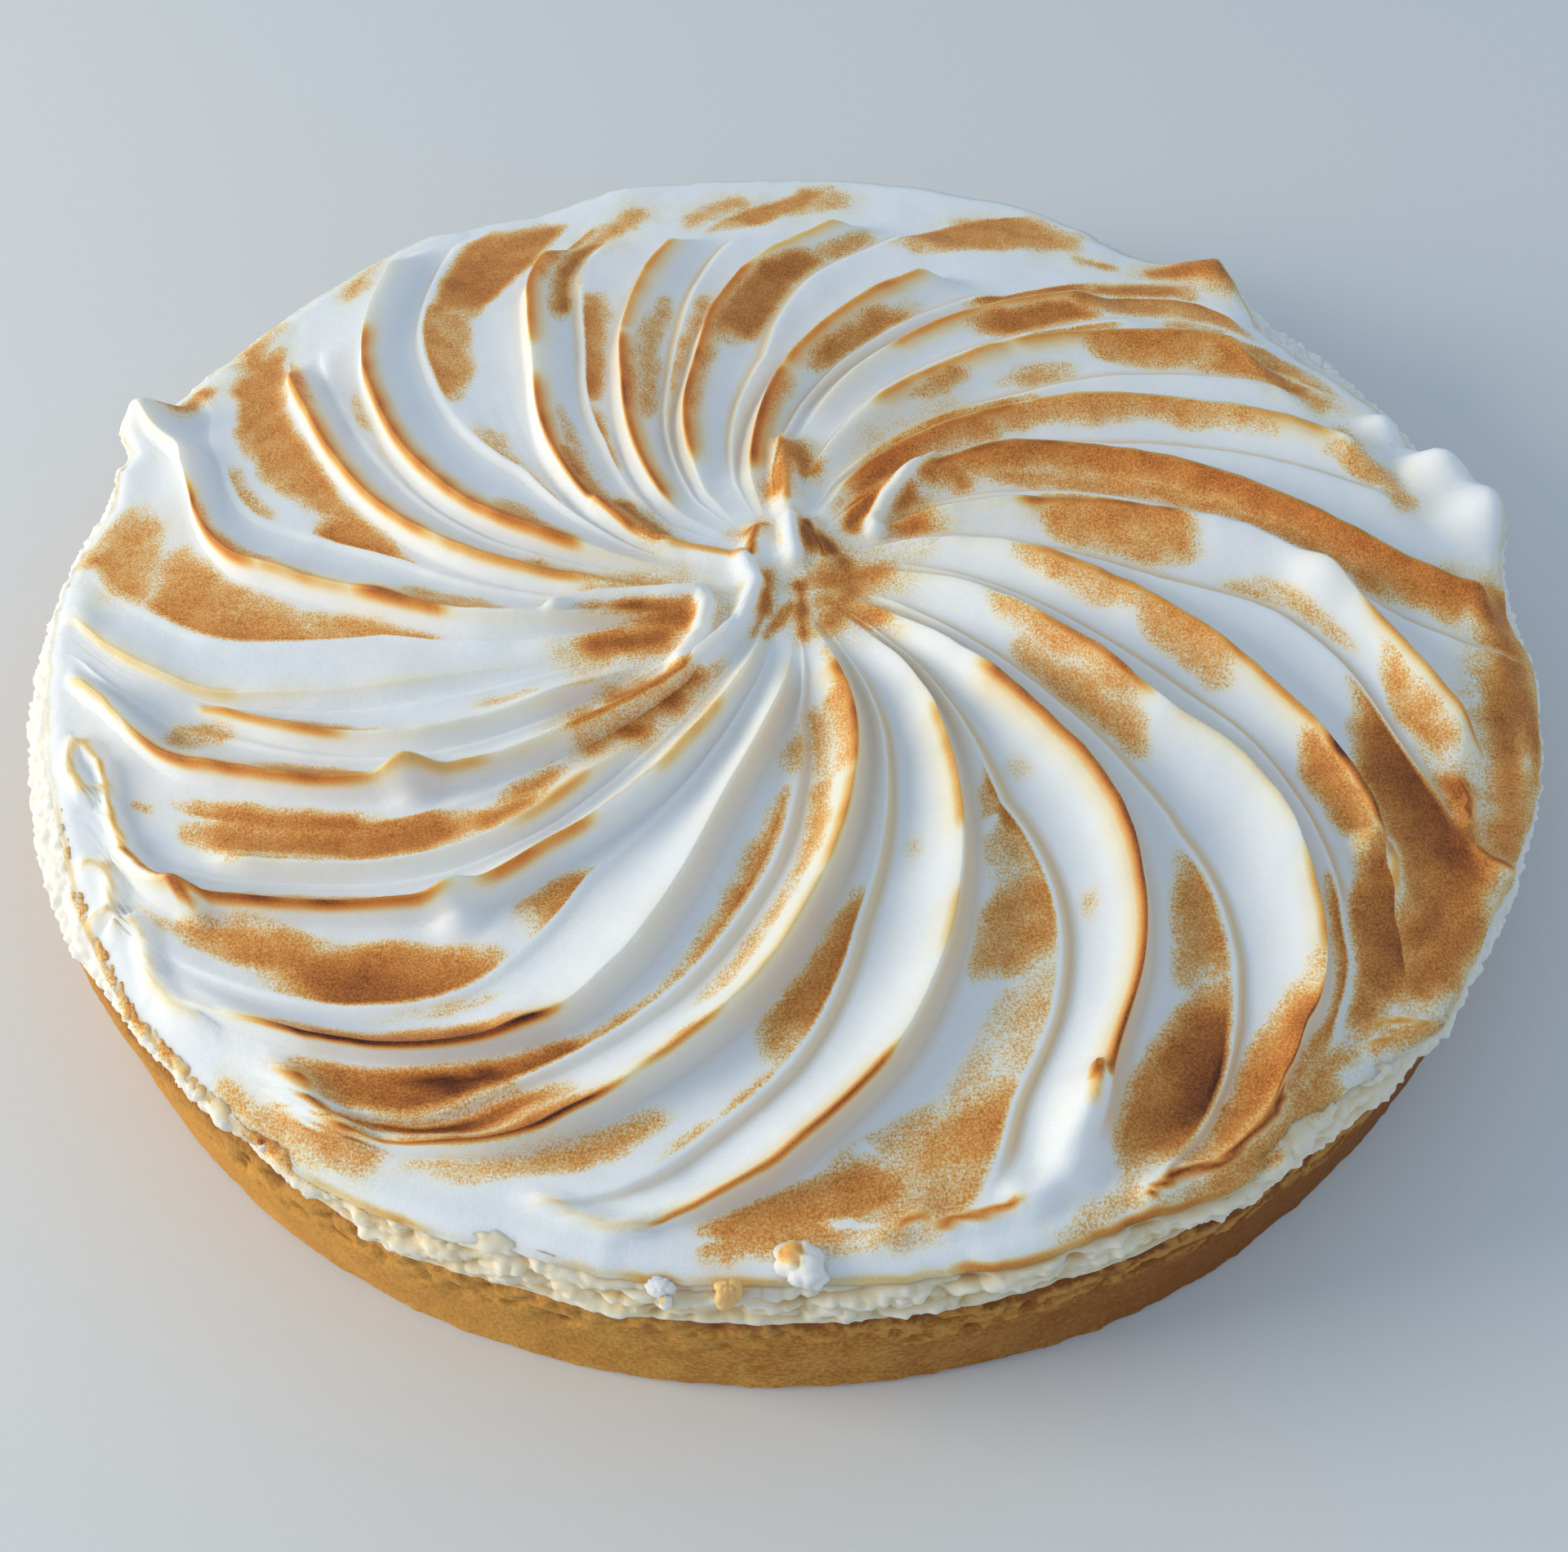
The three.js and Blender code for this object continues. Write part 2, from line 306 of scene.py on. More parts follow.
STROKES = [
    Stroke((21, 15.5, 10.6, 5.4, 0.2, -6.7, -15.3, -19.9, -24), 16, 110, 5, (12, 14),
           ((40, 66, 0.7), (92, 110, 0.6))),
    Stroke((43, 35.3, 27.7, 18.5, 9.4, 3.6, -1.8, -4, -5.2), 14, 116, 5, (12, 10), ((30, 112, 0.72),)),
    Stroke((57, 48.8, 41.6, 34.4, 26.7, 21.4, 16.1, 11.5, 6), 14, 106, 4.4, (10, 10),
           ((20, 56, 0.62), (56, 82, 0.45), (86, 100, 0.5))),
    Stroke((75, 67, 59.5, 52, 44, 38.5, 33, 27.5, 21), 16, 104, 4.4, (11, 11),
           ((40, 66, 0.5), (66, 101, 0.58))),
    Stroke((88, 80, 72.5, 65, 57, 51.5, 46, 41, 35), 34, 95, 2.6, (9, 9), ((56, 92, 0.55),)),
    Stroke((103, 94.4, 86.3, 78.2, 69.6, 63.7, 57.8, 53, 48), 14, 84, 4.4, (10, 10),
           ((22, 46, 0.7), (46, 80, 0.58))),
    Stroke((127, 117, 107, 100, 92.5, 85.6, 79.5, 75, 70), 16, 98, 4.4, (11, 11),
           ((26, 80, 0.66), (80, 96, 0.4))),
    Stroke((146, 133.5, 122.8, 115.5, 108, 103, 97, 92, 87), 16, 94, 4.4, (10, 10),
           ((22, 62, 0.7), (62, 90, 0.5))),
    Stroke((172, 156, 143, 131.8, 124.8, 121, 114, 109, 104), 14, 99, 4.4, (9, 9),
           ((22, 60, 0.72), (68, 100, 0.55))),
    Stroke((183, 175, 167.8, 159.7, 151, 145.5, 138.8, 133.5, 128), 18, 113, 4.8, (12, 12),
           ((32, 96, 0.66),)),
    Stroke((196, 187, 178.8, 170, 161, 155.5, 150.8, 147, 143), 20, 104, 3.8, (7, 7),
           ((30, 56, 0.55), (56, 101, 0.58))),
    Stroke((212, 203, 195, 187, 181.2, 177.7, 170.3, 164, 160.7), 20, 117, 4.5, (10, 10),
           ((52, 68, 0.7), (68, 84, 0.4), (84, 102, 0.75))),
    Stroke((219, 213, 207, 203, 199, 196.2, 191.3, 188, 184), 45, 116, 2, (10, 10), ((86, 114, 0.24),)),
    Stroke((230, 224, 219, 213.4, 205.2, 198.8, 193.6, 190, 186), 34, 93, 3.5, (8, 8), ((74, 92, 0.6),)),
    Stroke((244, 236, 228.6, 221.9, 213.8, 207.8, 201.9, 195.2, 190.4), 16, 114, 4.5, (8, 8),
           ((60, 74, 0.4), (74, 104, 0.66), (104, 113, 0.4))),
    Stroke((249, 243, 238, 234, 226.6, 220, 213.5, 207.5, 200), 42, 99, 2.5, (8, 8), ((52, 66, 0.4),)),
    Stroke((260, 253.3, 247.6, 241, 234.7, 227, 220.2, 215.5, 205), 14, 111, 5, (7, 7),
           ((32, 48, 0.4), (60, 76, 0.6), (80, 106, 0.8)), (104, 1.5)),
    Stroke((275, 267, 260.5, 257.3, 253.4, 249.2, 240.6, 231.6, 221.5), 22, 112, 4.5, (11, 12),
           ((89, 108, 0.95),), (91, 1)),
    Stroke((290, 287.5, 281.4, 274.3, 267.2, 261.2, 254.9, 249.9, 236), 18, 112, 5.5, (7, 11),
           ((24, 48, 0.7), (48, 62, 0.5), (62, 84, 0.3), (84, 94, 0.55), (96, 112, 0.95))),
    Stroke((309, 305.5, 299, 292.2, 284.8, 279.2, 272.2, 267.2, 259), 20, 112, 5.5, (13, 12),
           ((40, 62, 0.45), (70, 79, 0.3), (92, 112, 0.8))),
    Stroke((323, 319.5, 316.8, 313.6, 307.4, 301.5, 294.4, 291, 287), 18, 108, 6, (12, 12),
           ((40, 104, 0.8),)),
    Stroke((349, 342, 334.6, 329.3, 326.2, 321.8, 315.8, 310.3, 301.5), 18, 115, 5.5, (14.5, 15),
           ((42, 62, 0.7), (66, 92, 0.2), (95, 103, 0.55), (106, 115, 0.95))),
    Stroke((369, 360.5, 352.3, 345.3, 337.6, 332.6, 326.7, 321, 315), 16, 102, 5, (13, 13),
           ((40, 88, 0.6), (88, 101, 0.95)), (100, 1.5)),
]
FADE_INSIDE = 14
FULL_HEIGHT_RADIUS = 42
FADE_OUTSIDE = 5
TIP_LENGTH = 2
print(f"{len(STROKES)} strokes, the highest {max(s.height for s in STROKES)} mm")


# %% Where a crest runs, how high it stands and how dark it is
def crest_bearing(stroke, radius):
    """A smooth curve through the bearings read at the crest radii."""
    knots, bearings = np.array(CREST_RADII, float), np.array(stroke.path, float)
    slopes = np.gradient(bearings, knots)
    inside = np.clip(radius, knots[0], knots[-1])
    here = np.clip(np.searchsorted(knots, inside, side="right") - 1, 0, len(knots) - 2)
    step = knots[here + 1] - knots[here]
    share = (inside - knots[here]) / step
    curved = share * (1 - share) * step * (slopes[here] * (1 - share) - slopes[here + 1] * share)
    return lerp(bearings[here], bearings[here + 1], smooth(share, 0, 1)) + curved


def along_stroke(stroke, radius):
    """Points that run along one stroke only, to draw its own noise from."""
    return np.stack([radius, np.full_like(radius, 9 * stroke.path[0]), np.zeros_like(radius)], axis=-1)


def stretch(radius, start, end, fade):
    """1 between two radii, with soft ends."""
    return smooth(radius, start - fade, start + fade) * (1 - smooth(radius, end - fade, end + fade))


def crest_height(stroke, radius):
    """The crest's height above the trough: it fades towards both ends and is a little torn all along."""
    rising = smooth(radius, stroke.inner - FADE_INSIDE / 2, stroke.inner + FADE_INSIDE)
    rising = rising * np.minimum(1, radius / FULL_HEIGHT_RADIUS)
    standing = rising * (1 - smooth(radius, stroke.outer - FADE_OUTSIDE, stroke.outer + FADE_OUTSIDE / 4))
    path = along_stroke(stroke, radius)
    torn = 1 + 0.12 * noise(path, 9) + 0.05 * noise(path, 2.5, seed=1)
    tip_radius, tip_rise = stroke.tip
    tip = tip_rise * np.exp(-(((radius - tip_radius) / TIP_LENGTH) ** 2))
    return stroke.height * standing * torn + tip


def crest_burn(stroke, radius):
    """How dark the torch left the crest: faintly golden, and brown along its burnt stretches."""
    path = along_stroke(stroke, radius)
    ragged = radius + 2 * noise(path, 5, seed=2)
    burn = 0.08 + 0.08 * noise(path, 8, seed=3)
    for start, end, strength in stroke.burnt:
        burn = np.maximum(burn, strength * stretch(ragged, start, end, 3))
    return burn * (1 + 0.18 * noise(path, 3, seed=4)) * np.clip(crest_height(stroke, radius), 0, 1)


swing = STROKES[0].path[0] - STROKES[0].path[-1]
print(f"the first crest swings {swing:.0f} degrees from the middle to the rim")

# %% [markdown]
# ## One gap between two crests
#
# A flat grid would need millions of points to keep the crests sharp. So the grid's columns follow the
# strokes: each gap has a few close columns on the steep drop, some across the floor, a few on the small
# step down from the floor's lip, and the next ribbon's own, closest together at its crest. The heights
# then come from where a column is in its gap. Each gap also keeps how steep, how burnt and how far across
# its floor or ribbon every point is.

# %% Shape a gap
DROP_WIDTH = 2.6
LIP_WIDTH = 1.8
LIP_RISE = 1.6
LIP_FOOT = 0.25
HOLLOW = 0.5
LINE_WIDTH = 1.7
GLOW_WIDTH = 5.5
OPEN_SIDE = 195
FAR_SIDE = 90
DROP_COLUMNS = 8
LIP_COLUMNS = 5
RIBBON_SPACING = 1.05
FLOOR_SPACING = 1
COUNT_RADIUS = 85
FLOOR, RIBBON = 0, 1
# in a narrow gap the drop and the lip take no more than these shares, and the ribbon starts no earlier
MOST_DROP, MOST_LIP, FIRST_RIBBON = 0.25, 0.1, 0.42


@dataclass
class Gap:
    bearing: np.ndarray
    lift: np.ndarray
    steep: np.ndarray
    burn: np.ndarray
    zone: np.ndarray
    across: np.ndarray
    zone_width: np.ndarray


def gap_widths(stroke, following, radius):
    """Span in degrees, width in millimetres, and the shares where the drop, the floor and the lip end."""
    span = (crest_bearing(following, radius) - crest_bearing(stroke, radius)) % 360
    width = np.radians(span) * radius
    ribbon = np.interp(radius, RIBBON_RADII, following.ribbon)
    drop_end = np.minimum(DROP_WIDTH / width, MOST_DROP)
    ribbon_start = np.maximum(1 - ribbon / width, FIRST_RIBBON)
    lip_start = ribbon_start - np.minimum(LIP_WIDTH / width, MOST_LIP)
    return span, width, drop_end, lip_start, ribbon_start


def scoop(share):
    """From 0 to 1 like the inside of a spoon: level first, then straight up."""
    return (np.sqrt(share**2 + HOLLOW**2) - HOLLOW) / (math.sqrt(1 + HOLLOW**2) - HOLLOW)


def ribbon_rise(share):
    """From 0 to 1: level first, steepest near the crest and only just rounding over at it."""
    return lerp(scoop(share), smooth(share, 0, 1), 0.18)


def shape_gap(stroke, following, radius):
    """Columns from one crest to just before the next, as arrays of one row a ring and one column a line."""
    _, width, drop_end, lip_start, _ = gap_widths(stroke, following, np.array(float(COUNT_RADIUS)))
    floor_columns = max(5, round(float((lip_start - drop_end) * width) / FLOOR_SPACING))
    ribbon_columns = max(8, round(following.ribbon[0] / RIBBON_SPACING))
    radius = radius[:, None]
    span, width, drop_end, lip_start, ribbon_start = gap_widths(stroke, following, radius)
    crest, climb = crest_height(stroke, radius), crest_height(following, radius)
    open_side = facing(stroke.path[MIDWAY], OPEN_SIDE, 0.3, 0.9)
    lip = LIP_RISE * lerp(1, 0.35, open_side) * np.minimum(1, climb / 4.5)
    floor_width, ribbon_width = (lip_start - drop_end) * width, (1 - ribbon_start) * width

    drop = np.linspace(0, 1, DROP_COLUMNS, endpoint=False) ** 1.2
    floor = np.linspace(0, 1, floor_columns, endpoint=False)
    step = np.linspace(0, 1, LIP_COLUMNS, endpoint=False)
    ribbon = 1 - (1 - np.linspace(0, 1, ribbon_columns, endpoint=False)) ** 1.4
    share = np.hstack([
        drop_end * drop,
        lerp(drop_end, lip_start, floor),
        lerp(lip_start, ribbon_start, step),
        lerp(ribbon_start, 1, ribbon),
    ])
    lift = np.hstack([
        crest * (1 - drop) ** 1.7,
        lip * scoop(floor),
        lip * lerp(1, LIP_FOOT, smooth(step, 0, 1)),
        lerp(LIP_FOOT * lip, climb, ribbon_rise(ribbon)),
    ])
    sharp, kerb = np.minimum(1, crest / 2.5), np.minimum(1, lip / LIP_RISE)
    steep = np.hstack([
        sharp * smooth(drop, 0.02, 0.25) * (1 - 0.4 * drop),
        sharp * 0.6 * (1 - smooth(floor * floor_width, 0, 2)),
        kerb * smooth(step, 0.05, 0.4),
        kerb * (1 - smooth(ribbon * ribbon_width, 0, 1.2)),
    ])
    bare = np.zeros((len(radius), floor_columns + LIP_COLUMNS))
    to_crest = (1 - ribbon) * ribbon_width
    line = 1 - smooth(to_crest / LINE_WIDTH, 0.15, 1)
    glow_share = lerp(0.34, 0.66, facing(following.path[MIDWAY], FAR_SIDE, -0.1, 0.4))
    over_edge = lerp(0.5, 1.3, open_side)
    glow = 1 - smooth(to_crest / GLOW_WIDTH, 0, 1)
    burn = np.hstack([
        crest_burn(stroke, radius) * (1 - smooth(drop * drop_end * width, 0, over_edge)),
        bare,
        crest_burn(following, radius) * lerp(glow_share * glow, 1, line),
    ])
    across = np.hstack([
        (drop - 1) * DROP_WIDTH / floor_width,
        floor + 0 * floor_width,
        (step - 1) * LIP_WIDTH / ribbon_width,
        ribbon + 0 * ribbon_width,
    ])
    zone = np.repeat([FLOOR, RIBBON], [DROP_COLUMNS + floor_columns, LIP_COLUMNS + ribbon_columns])
    zone_width = np.where(zone == FLOOR, floor_width, ribbon_width)
    return Gap(crest_bearing(stroke, radius) + share * span, lift, steep, burn, zone, across, zone_width)


RIM_RADIUS = 118
# from radius, to radius, step between the rings
RING_STEPS = [(1, 30, 0.85), (30, 92, 1.12), (92, RIM_RADIUS, 0.75)]
rings = np.concatenate([np.arange(low, high, step) for low, high, step in RING_STEPS] + [[RIM_RADIUS]])
gaps = [shape_gap(stroke, STROKES[(i + 1) % len(STROKES)], rings) for i, stroke in enumerate(STROKES)]
bearing, lift, steep, line_burn = (
    np.hstack([getattr(gap, key) for gap in gaps]) for key in ("bearing", "lift", "steep", "burn"))
print(f"{bearing.shape[0]} rings of {bearing.shape[1]} points")

# %% [markdown]
# ## Dome, rim and dollops
#
# The troughs lie on a low dome. Round lumps stand where the knife left the surface, the rim bulges and
# shrinks as the meringue was pushed over the edge, and small torn ridges and loops stand where it stuck to
# the knife. Each of the three is a list of places, added to the grid as smooth bumps.

# %% Bend the grid over the tart
RIM_HEIGHT = 32
DOME_RISE = 4
EDGE_ROUND = 2.5
EDGE_DROP = 0.9
# bearing, outward reach, rise
RIM_LUMPS = [
    (7, 3, 2.5), (12, 1, 1.5), (15, -3, 0), (21, -3, -0.5), (29, -5, -1.5), (36, -5, -1.5), (41, -1, 1),
    (44, 1.5, 3), (48, -3, 0), (52, -4, -0.5), (57, -3, 0), (65, -1, 0), (75, -1, 0), (90, -0.5, 0),
    (100, 0.5, 0), (106, 1, 0.3), (114, -1.5, -0.5), (125, 1.8, 0.5), (140, 0.8, 0), (154, 0.5, 0),
    (157.2, 1, 0.6), (158.7, 4, 1.4), (160.4, 5, 1.6), (162, 4.4, 1.4), (163.4, 0.8, 0.4), (166, 0.5, 0.5),
    (170, -2, 0), (180, -1, 0), (190, -1.8, 0), (203, -2, 0), (213, -1.2, -1), (222, 0.2, -2.2),
    (235, 0.5, -2), (243, 1.3, -0.3), (250, 0.2, 0), (260, 0.2, 0), (268, -0.7, 0), (276, 0, 0),
    (285, 0.7, 0), (290, 0.3, 0), (298, 1.8, 0), (308, 0, 0), (316, 2.4, 0), (322, 1, 0), (335, 1.3, 0),
    (350, 1.2, 0), (354, -1.5, -0.5), (358, -0.6, 0),
]
# bearing, radius, spread, rise
DOLLOPS = [
    (60, 3, 9, 1.5), (5, 115, 8, 4.4), (11, 112.5, 6, 4.6), (17.5, 114, 6, 3.4), (355, 86, 7, 2.5),
    (219, 69, 5.5, 4), (236, 80, 5, 2.8), (289.6, 106.5, 5, 1), (160.4, 115.4, 7, 3.2),
]
# bearings and radii along a small torn ridge, then its height, half its width and how burnt it is
RIDGES = [
    (((303.4, 113.3), (301.9, 114.2), (299.6, 114.4), (296.9, 115.1), (294, 114.5), (292.2, 115.9)),
     1.8, 1.6, 0.9),
    (((324.3, 99.1), (325.7, 102.2), (324.8, 104.1), (322.6, 105), (321, 102.7)), 2.2, 2.2, 0.45),
    (((334.4, 107.4), (333.2, 109.1), (331.3, 110.4), (329.7, 110.3)), 2.2, 1.6, 0.85),
    (((329.3, 112.2), (328.8, 114.6), (329.2, 117.3)), 2, 1.7, 0.75),
    (((311.1, 112.8), (313.3, 114.5), (314.8, 116.8), (312.7, 116.5), (310.5, 114.8)), 1.2, 1.4, 0.55),
    (((275, 113.7), (276.6, 111.9), (278.4, 111), (279.3, 112.7), (281.2, 112), (284.2, 111.5)),
     1.3, 1.4, 0.7),
    (((254.2, 111.7), (255.3, 111.5), (256.5, 112.4), (258.7, 112.7), (260.5, 112.4)), 1.5, 1.4, 0.24),
    (((241, 111.5), (239.2, 111.1), (237.2, 110.7), (235.7, 109.4), (234.2, 109.5), (233.6, 110.5)),
     2.4, 1.2, 0.85),
    (((234, 111.1), (236, 112), (237.8, 112.4)), 1.6, 1.4, 0),
    (((226.1, 112.1), (224, 113.4), (221.2, 113.1), (217.7, 111.4), (216.1, 111.6), (215.4, 113.9)),
     2, 1.6, 0.22),
    (((219, 103.7), (215.1, 106), (210.1, 108.9)), 2.6, 1.4, 0.75),
    (((210.1, 108.9), (206, 109.4), (203, 109), (200, 109.6)), 2, 1.3, 0.45),
    (((200, 109.6), (197.8, 111.2), (197.3, 113.3), (200.3, 114.2), (202.5, 112.9), (203, 109.5)),
     1.4, 1.5, 0.34),
    (((208.8, 115.4), (210.4, 111.8), (213.8, 113.2), (213.8, 116.8)), 1.4, 1.5, 0.32),
    # the tuft at the front: burnt tip, golden neck, white body and the curl at its foot
    (((292.4, 101), (291.6, 102.8)), 4.6, 1.1, 0.92), (((291.7, 102.6), (290.9, 104.8)), 4, 1.8, 0.36),
    (((291.2, 103.6), (289.8, 106.8), (288.4, 109.2)), 3.4, 3.2, 0),
    (((288.4, 109.2), (287.2, 110.7), (285.8, 111.4), (284.4, 110.9)), 2.2, 2, 0),
    # white flaws in the browned floors
    (((299.3, 60.5), (297.6, 61)), 0.7, 1.1, 0), (((275.2, 101.4), (275.7, 101.8)), 0.4, 1.2, 0),
    (((272.6, 111.2), (273.6, 110.9)), 0.3, 0.7, 0), (((273.8, 111.8), (274.9, 111.5)), 0.3, 0.6, 0),
    # fingers round the middle
    (((88.3, 27), (86, 20), (83.6, 12.8)), 2.8, 2.2, 0.5),
    (((78, 9.1), (60, 4), (346.7, 2.6)), 2.6, 1.7, 0),
    (((59.7, 8.7), (30, 7), (358.8, 7.4)), 1.2, 2.3, 0.84),
    (((118.5, 7.3), (150, 5), (178.2, 4.4)), 1.6, 2, 0.74),
    (((185, 6), (239.9, 7.5), (247.4, 15.8), (241.9, 25.7)), 2.8, 1.9, 0),
    (((198.4, 36.9), (196, 34), (199.6, 24.9), (210.9, 15), (222, 15.6), (233.8, 20.7), (235.2, 27.1)),
     2.6, 1.8, 0.08),
    (((20.4, 16.8), (27, 17.5), (34.7, 21.5), (40.2, 34.3)), 2.4, 1.6, 0.08),
    (((183.3, 6.5), (170.1, 18.1), (158.8, 31.8)), 1.6, 1.8, 0.45),
]
BARE_RIDGE = 0.1


def near_path(points, path):
    """Distance in plan from points to a path of bearings and radii."""
    flat = points[..., :2]
    stops = [polar(bearing, radius, 0)[:2] for bearing, radius in path]
    nearest = np.full(flat.shape[:-1], np.inf)
    for start, end in zip(stops, stops[1:]):
        share = np.clip((flat - start) @ (end - start) / ((end - start) @ (end - start)), 0, 1)
        apart = flat - start - share[..., None] * (end - start)
        nearest = np.minimum(nearest, np.linalg.norm(apart, axis=-1))
    return nearest


def ridge_shape(plan):
    """Rise and burn of the small ridges, and how far the white ones stand clear of the flame."""
    rise, burn, bare = (np.zeros(plan.shape[:-1]) for _ in range(3))
    for path, height, half, darkness in RIDGES:
        distance = near_path(plan, path) + 0.3 * noise(plan, 2, seed=15)
        rise = np.maximum(rise, height * (1 - smooth(distance / half, 0, 1.6)))
        burn = np.maximum(burn, darkness * (1 - smooth(distance / half, 0.05, 0.65)))
        bare = np.maximum(bare, (darkness < BARE_RIDGE) * (1 - smooth(distance / half, 0.5, 1.1)))
    return rise, burn, bare


def rim_shape(bearing):
    """Outward reach and rise of the rim's lumps."""
    places, reaches, rises = np.array(RIM_LUMPS).T
    around = polar(bearing, RIM_RADIUS, 0)
    ragged = 0.5 * noise(around, 7, seed=3) + 0.35 * noise(around, 2.6, seed=4)
    reach = np.interp(bearing, places, reaches, period=360) + ragged
    return reach, np.interp(bearing, places, rises, period=360) + 0.5 * noise(around, 14, seed=5)


def dollop_rise(plan):
    rise = 0
    for middle, radius, spread, height in DOLLOPS:
        distance = np.linalg.norm(plan - polar(middle, radius, 0), axis=-1)
        rise = rise + height * (1 - smooth(distance, 0, spread))
    return rise


radius = np.broadcast_to(rings[:, None], bearing.shape)
plan = polar(bearing, radius, 0)
column_arc = np.radians(bearing[len(rings) // 2]) * rings[len(rings) // 2]
strokewise = np.stack([np.broadcast_to(column_arc, bearing.shape), 0.1 * radius, 0 * radius], axis=-1)
streaks = 0.08 * noise(strokewise, 1.7, seed=8) * smooth(radius, 25, 50)
uneven = (
    0.35 * noise(plan, 22, seed=6) + 0.15 * noise(plan, 6, seed=7)
    + 0.07 * noise(plan, 2.4, seed=19) + streaks)
reach, rise = rim_shape(bearing)
push = smooth(radius, 0.8 * RIM_RADIUS, RIM_RADIUS)
rounded = EDGE_DROP * smooth(radius, RIM_RADIUS - EDGE_ROUND, RIM_RADIUS)
dome = RIM_HEIGHT + DOME_RISE * (1 - (radius / RIM_RADIUS) ** 2)
ridge_rise, ridge_burn, ridge_bare = ridge_shape(plan)
top_height = (
    dome + lift + uneven + smooth(radius, 0.92 * RIM_RADIUS, RIM_RADIUS) * rise
    + dollop_rise(plan) + ridge_rise - rounded)
top = polar(bearing, radius + push * reach, top_height)
print(f"swirl from {top_height.min():.1f} to {top_height.max():.1f} mm above the table")

# %% [markdown]
# ## The torn edge
#
# Below the rim the meringue was never smoothed: it is a band of torn strands, cracks and pits at the front
# and of finer crumbs at the sides, which leans on the pastry and stands up a little over the swirl in
# places. It is a ring of its own with closer columns than the swirl, so that each strand is real geometry.
# Its outline is a closed loop: up inside, over the crest, down the wall and back.

# %% Grow the torn edge
EDGE_COLUMNS = 1900
# points from each corner of the loop to the next
EDGE_STEPS = (4, 4, 3, 13, 7, 2, 2)
FOOT_RADIUS = 120.3
ROUGH_SIDE = 275
# scales that draw the torn strands out along the rim
SQUASH = (0.32, 0.32, 1.25)
DRAWN_IN, DRAWN_IN_SIDE = 1.6, 228
# bearing, rise over the swirl, how toasted, how burnt its line is
EDGE_MARKS = [
    (0, -0.4, 0.4, 0.3), (7, 0, 0.3, 0.2), (14, 0, 0.3, 0.3), (30, -0.3, 0.2, 0.2), (44, 0.2, 0.6, 0.4),
    (60, -0.2, 0.2, 0.2), (90, 0, 0.15, 0.1), (130, 0.1, 0.2, 0.2), (150, 0.1, 0.3, 0.2),
    (170, 0.1, 0.25, 0.2), (190, 0.1, 0.15, 0.15), (200, 0.1, 0.2, 0.2), (207, 0.3, 0.34, 0.3),
    (222, 0.6, 0.44, 0.4), (230, 0.6, 0.5, 0.44), (238, 0.4, 0.4, 0.4), (243, 0.1, 0.3, 0.3),
    (246, 0.4, 0.15, 0.5), (250, 0.5, 0.1, 0.15), (255, 0.2, 0.05, 0.05), (257, -0.1, 0.1, 0.35),
    (262, -0.2, 0.1, 0.5), (267, -0.2, 0.1, 0.45), (271, 0.1, 0.1, 0.2), (274, -0.3, 0.1, 0.6),
    (285, -0.4, 0.15, 0.75), (296, -0.3, 0.2, 0.7), (301, 0.3, 0.3, 0.2), (306, 0.5, 0.2, 0.1),
    (312, 0.3, 0.15, 0.2), (320, -0.2, 0.35, 0.3), (330, -0.4, 0.5, 0.4), (345, -0.4, 0.55, 0.45),
]


def puffs(points, size, seed):
    """Round puffs with sharp cracks between them, from 0 in a crack to about 1."""
    return np.minimum(1, 2.2 * np.abs(noise(points, size, seed)))


marks = np.array(EDGE_MARKS).T
edge_bearing = np.linspace(0, 360, EDGE_COLUMNS, endpoint=False)
edge_rise, edge_toast, edge_line = (
    np.interp(edge_bearing, marks[0], mark, period=360) for mark in marks[1:])
rim_height = np.interp(edge_bearing, bearing[-1] % 360, top[-1, :, 2], period=360)
rim_reach = RIM_RADIUS + rim_shape(edge_bearing)[0]
crest_level = rim_height + edge_rise
wavy = 0.7 * noise(polar(edge_bearing, RIM_RADIUS, 0), 9, seed=18)
foot = FOOT_RADIUS + wavy - DRAWN_IN * facing(edge_bearing, DRAWN_IN_SIDE, 0.96, 0.99)
# radius and height of the loop's corners: up inside the swirl, over the crest, down the wall and back
corners = [
    (rim_reach - 4, rim_height - 3),
    (rim_reach - 2.4, crest_level - 0.7),
    (rim_reach - 1, crest_level),
    (rim_reach + 0.3, crest_level - 0.8),
    (lerp(rim_reach, foot, 0.75), lerp(rim_height, BED_HEIGHT, 0.62)),
    (foot, BED_HEIGHT + 0.7 + 0.7 * wavy),
    (foot - 1, BED_HEIGHT + 0 * wavy),
    (foot - 6, BED_HEIGHT + 0 * wavy),
]
loop = np.concatenate([
    lerp(np.array(start), np.array(end), np.linspace(0, 1, steps, endpoint=False)[:, None, None])
    for start, end, steps in zip(corners, corners[1:], EDGE_STEPS)])
edge_radius, edge_height = loop[:, 0], loop[:, 1]
edge_plain = polar(edge_bearing, edge_radius, edge_height)
squat = edge_plain * SQUASH
large, small = puffs(squat, 2.6, 9), puffs(squat * (1.7, 1.7, 1), 1.2, 10)
pit = smooth(noise(squat * 1.6, 2.2, seed=17), 0.3, 0.7)
rough = facing(edge_bearing, ROUGH_SIDE, 0.62, 0.88)
strands = 1.6 * (large - 0.5) + 0.6 * (small - 0.5) - 1.3 * pit
crumbs = 0.8 * (puffs(edge_plain, 1.9, 9) - 0.4)
bulge = lerp(crumbs, strands, rough) + 0.4 * noise(edge_plain, 0.9, seed=11)
row = np.arange(len(loop))[:, None]
crest_row, foot_row = sum(EDGE_STEPS[:2]), sum(EDGE_STEPS[:5])
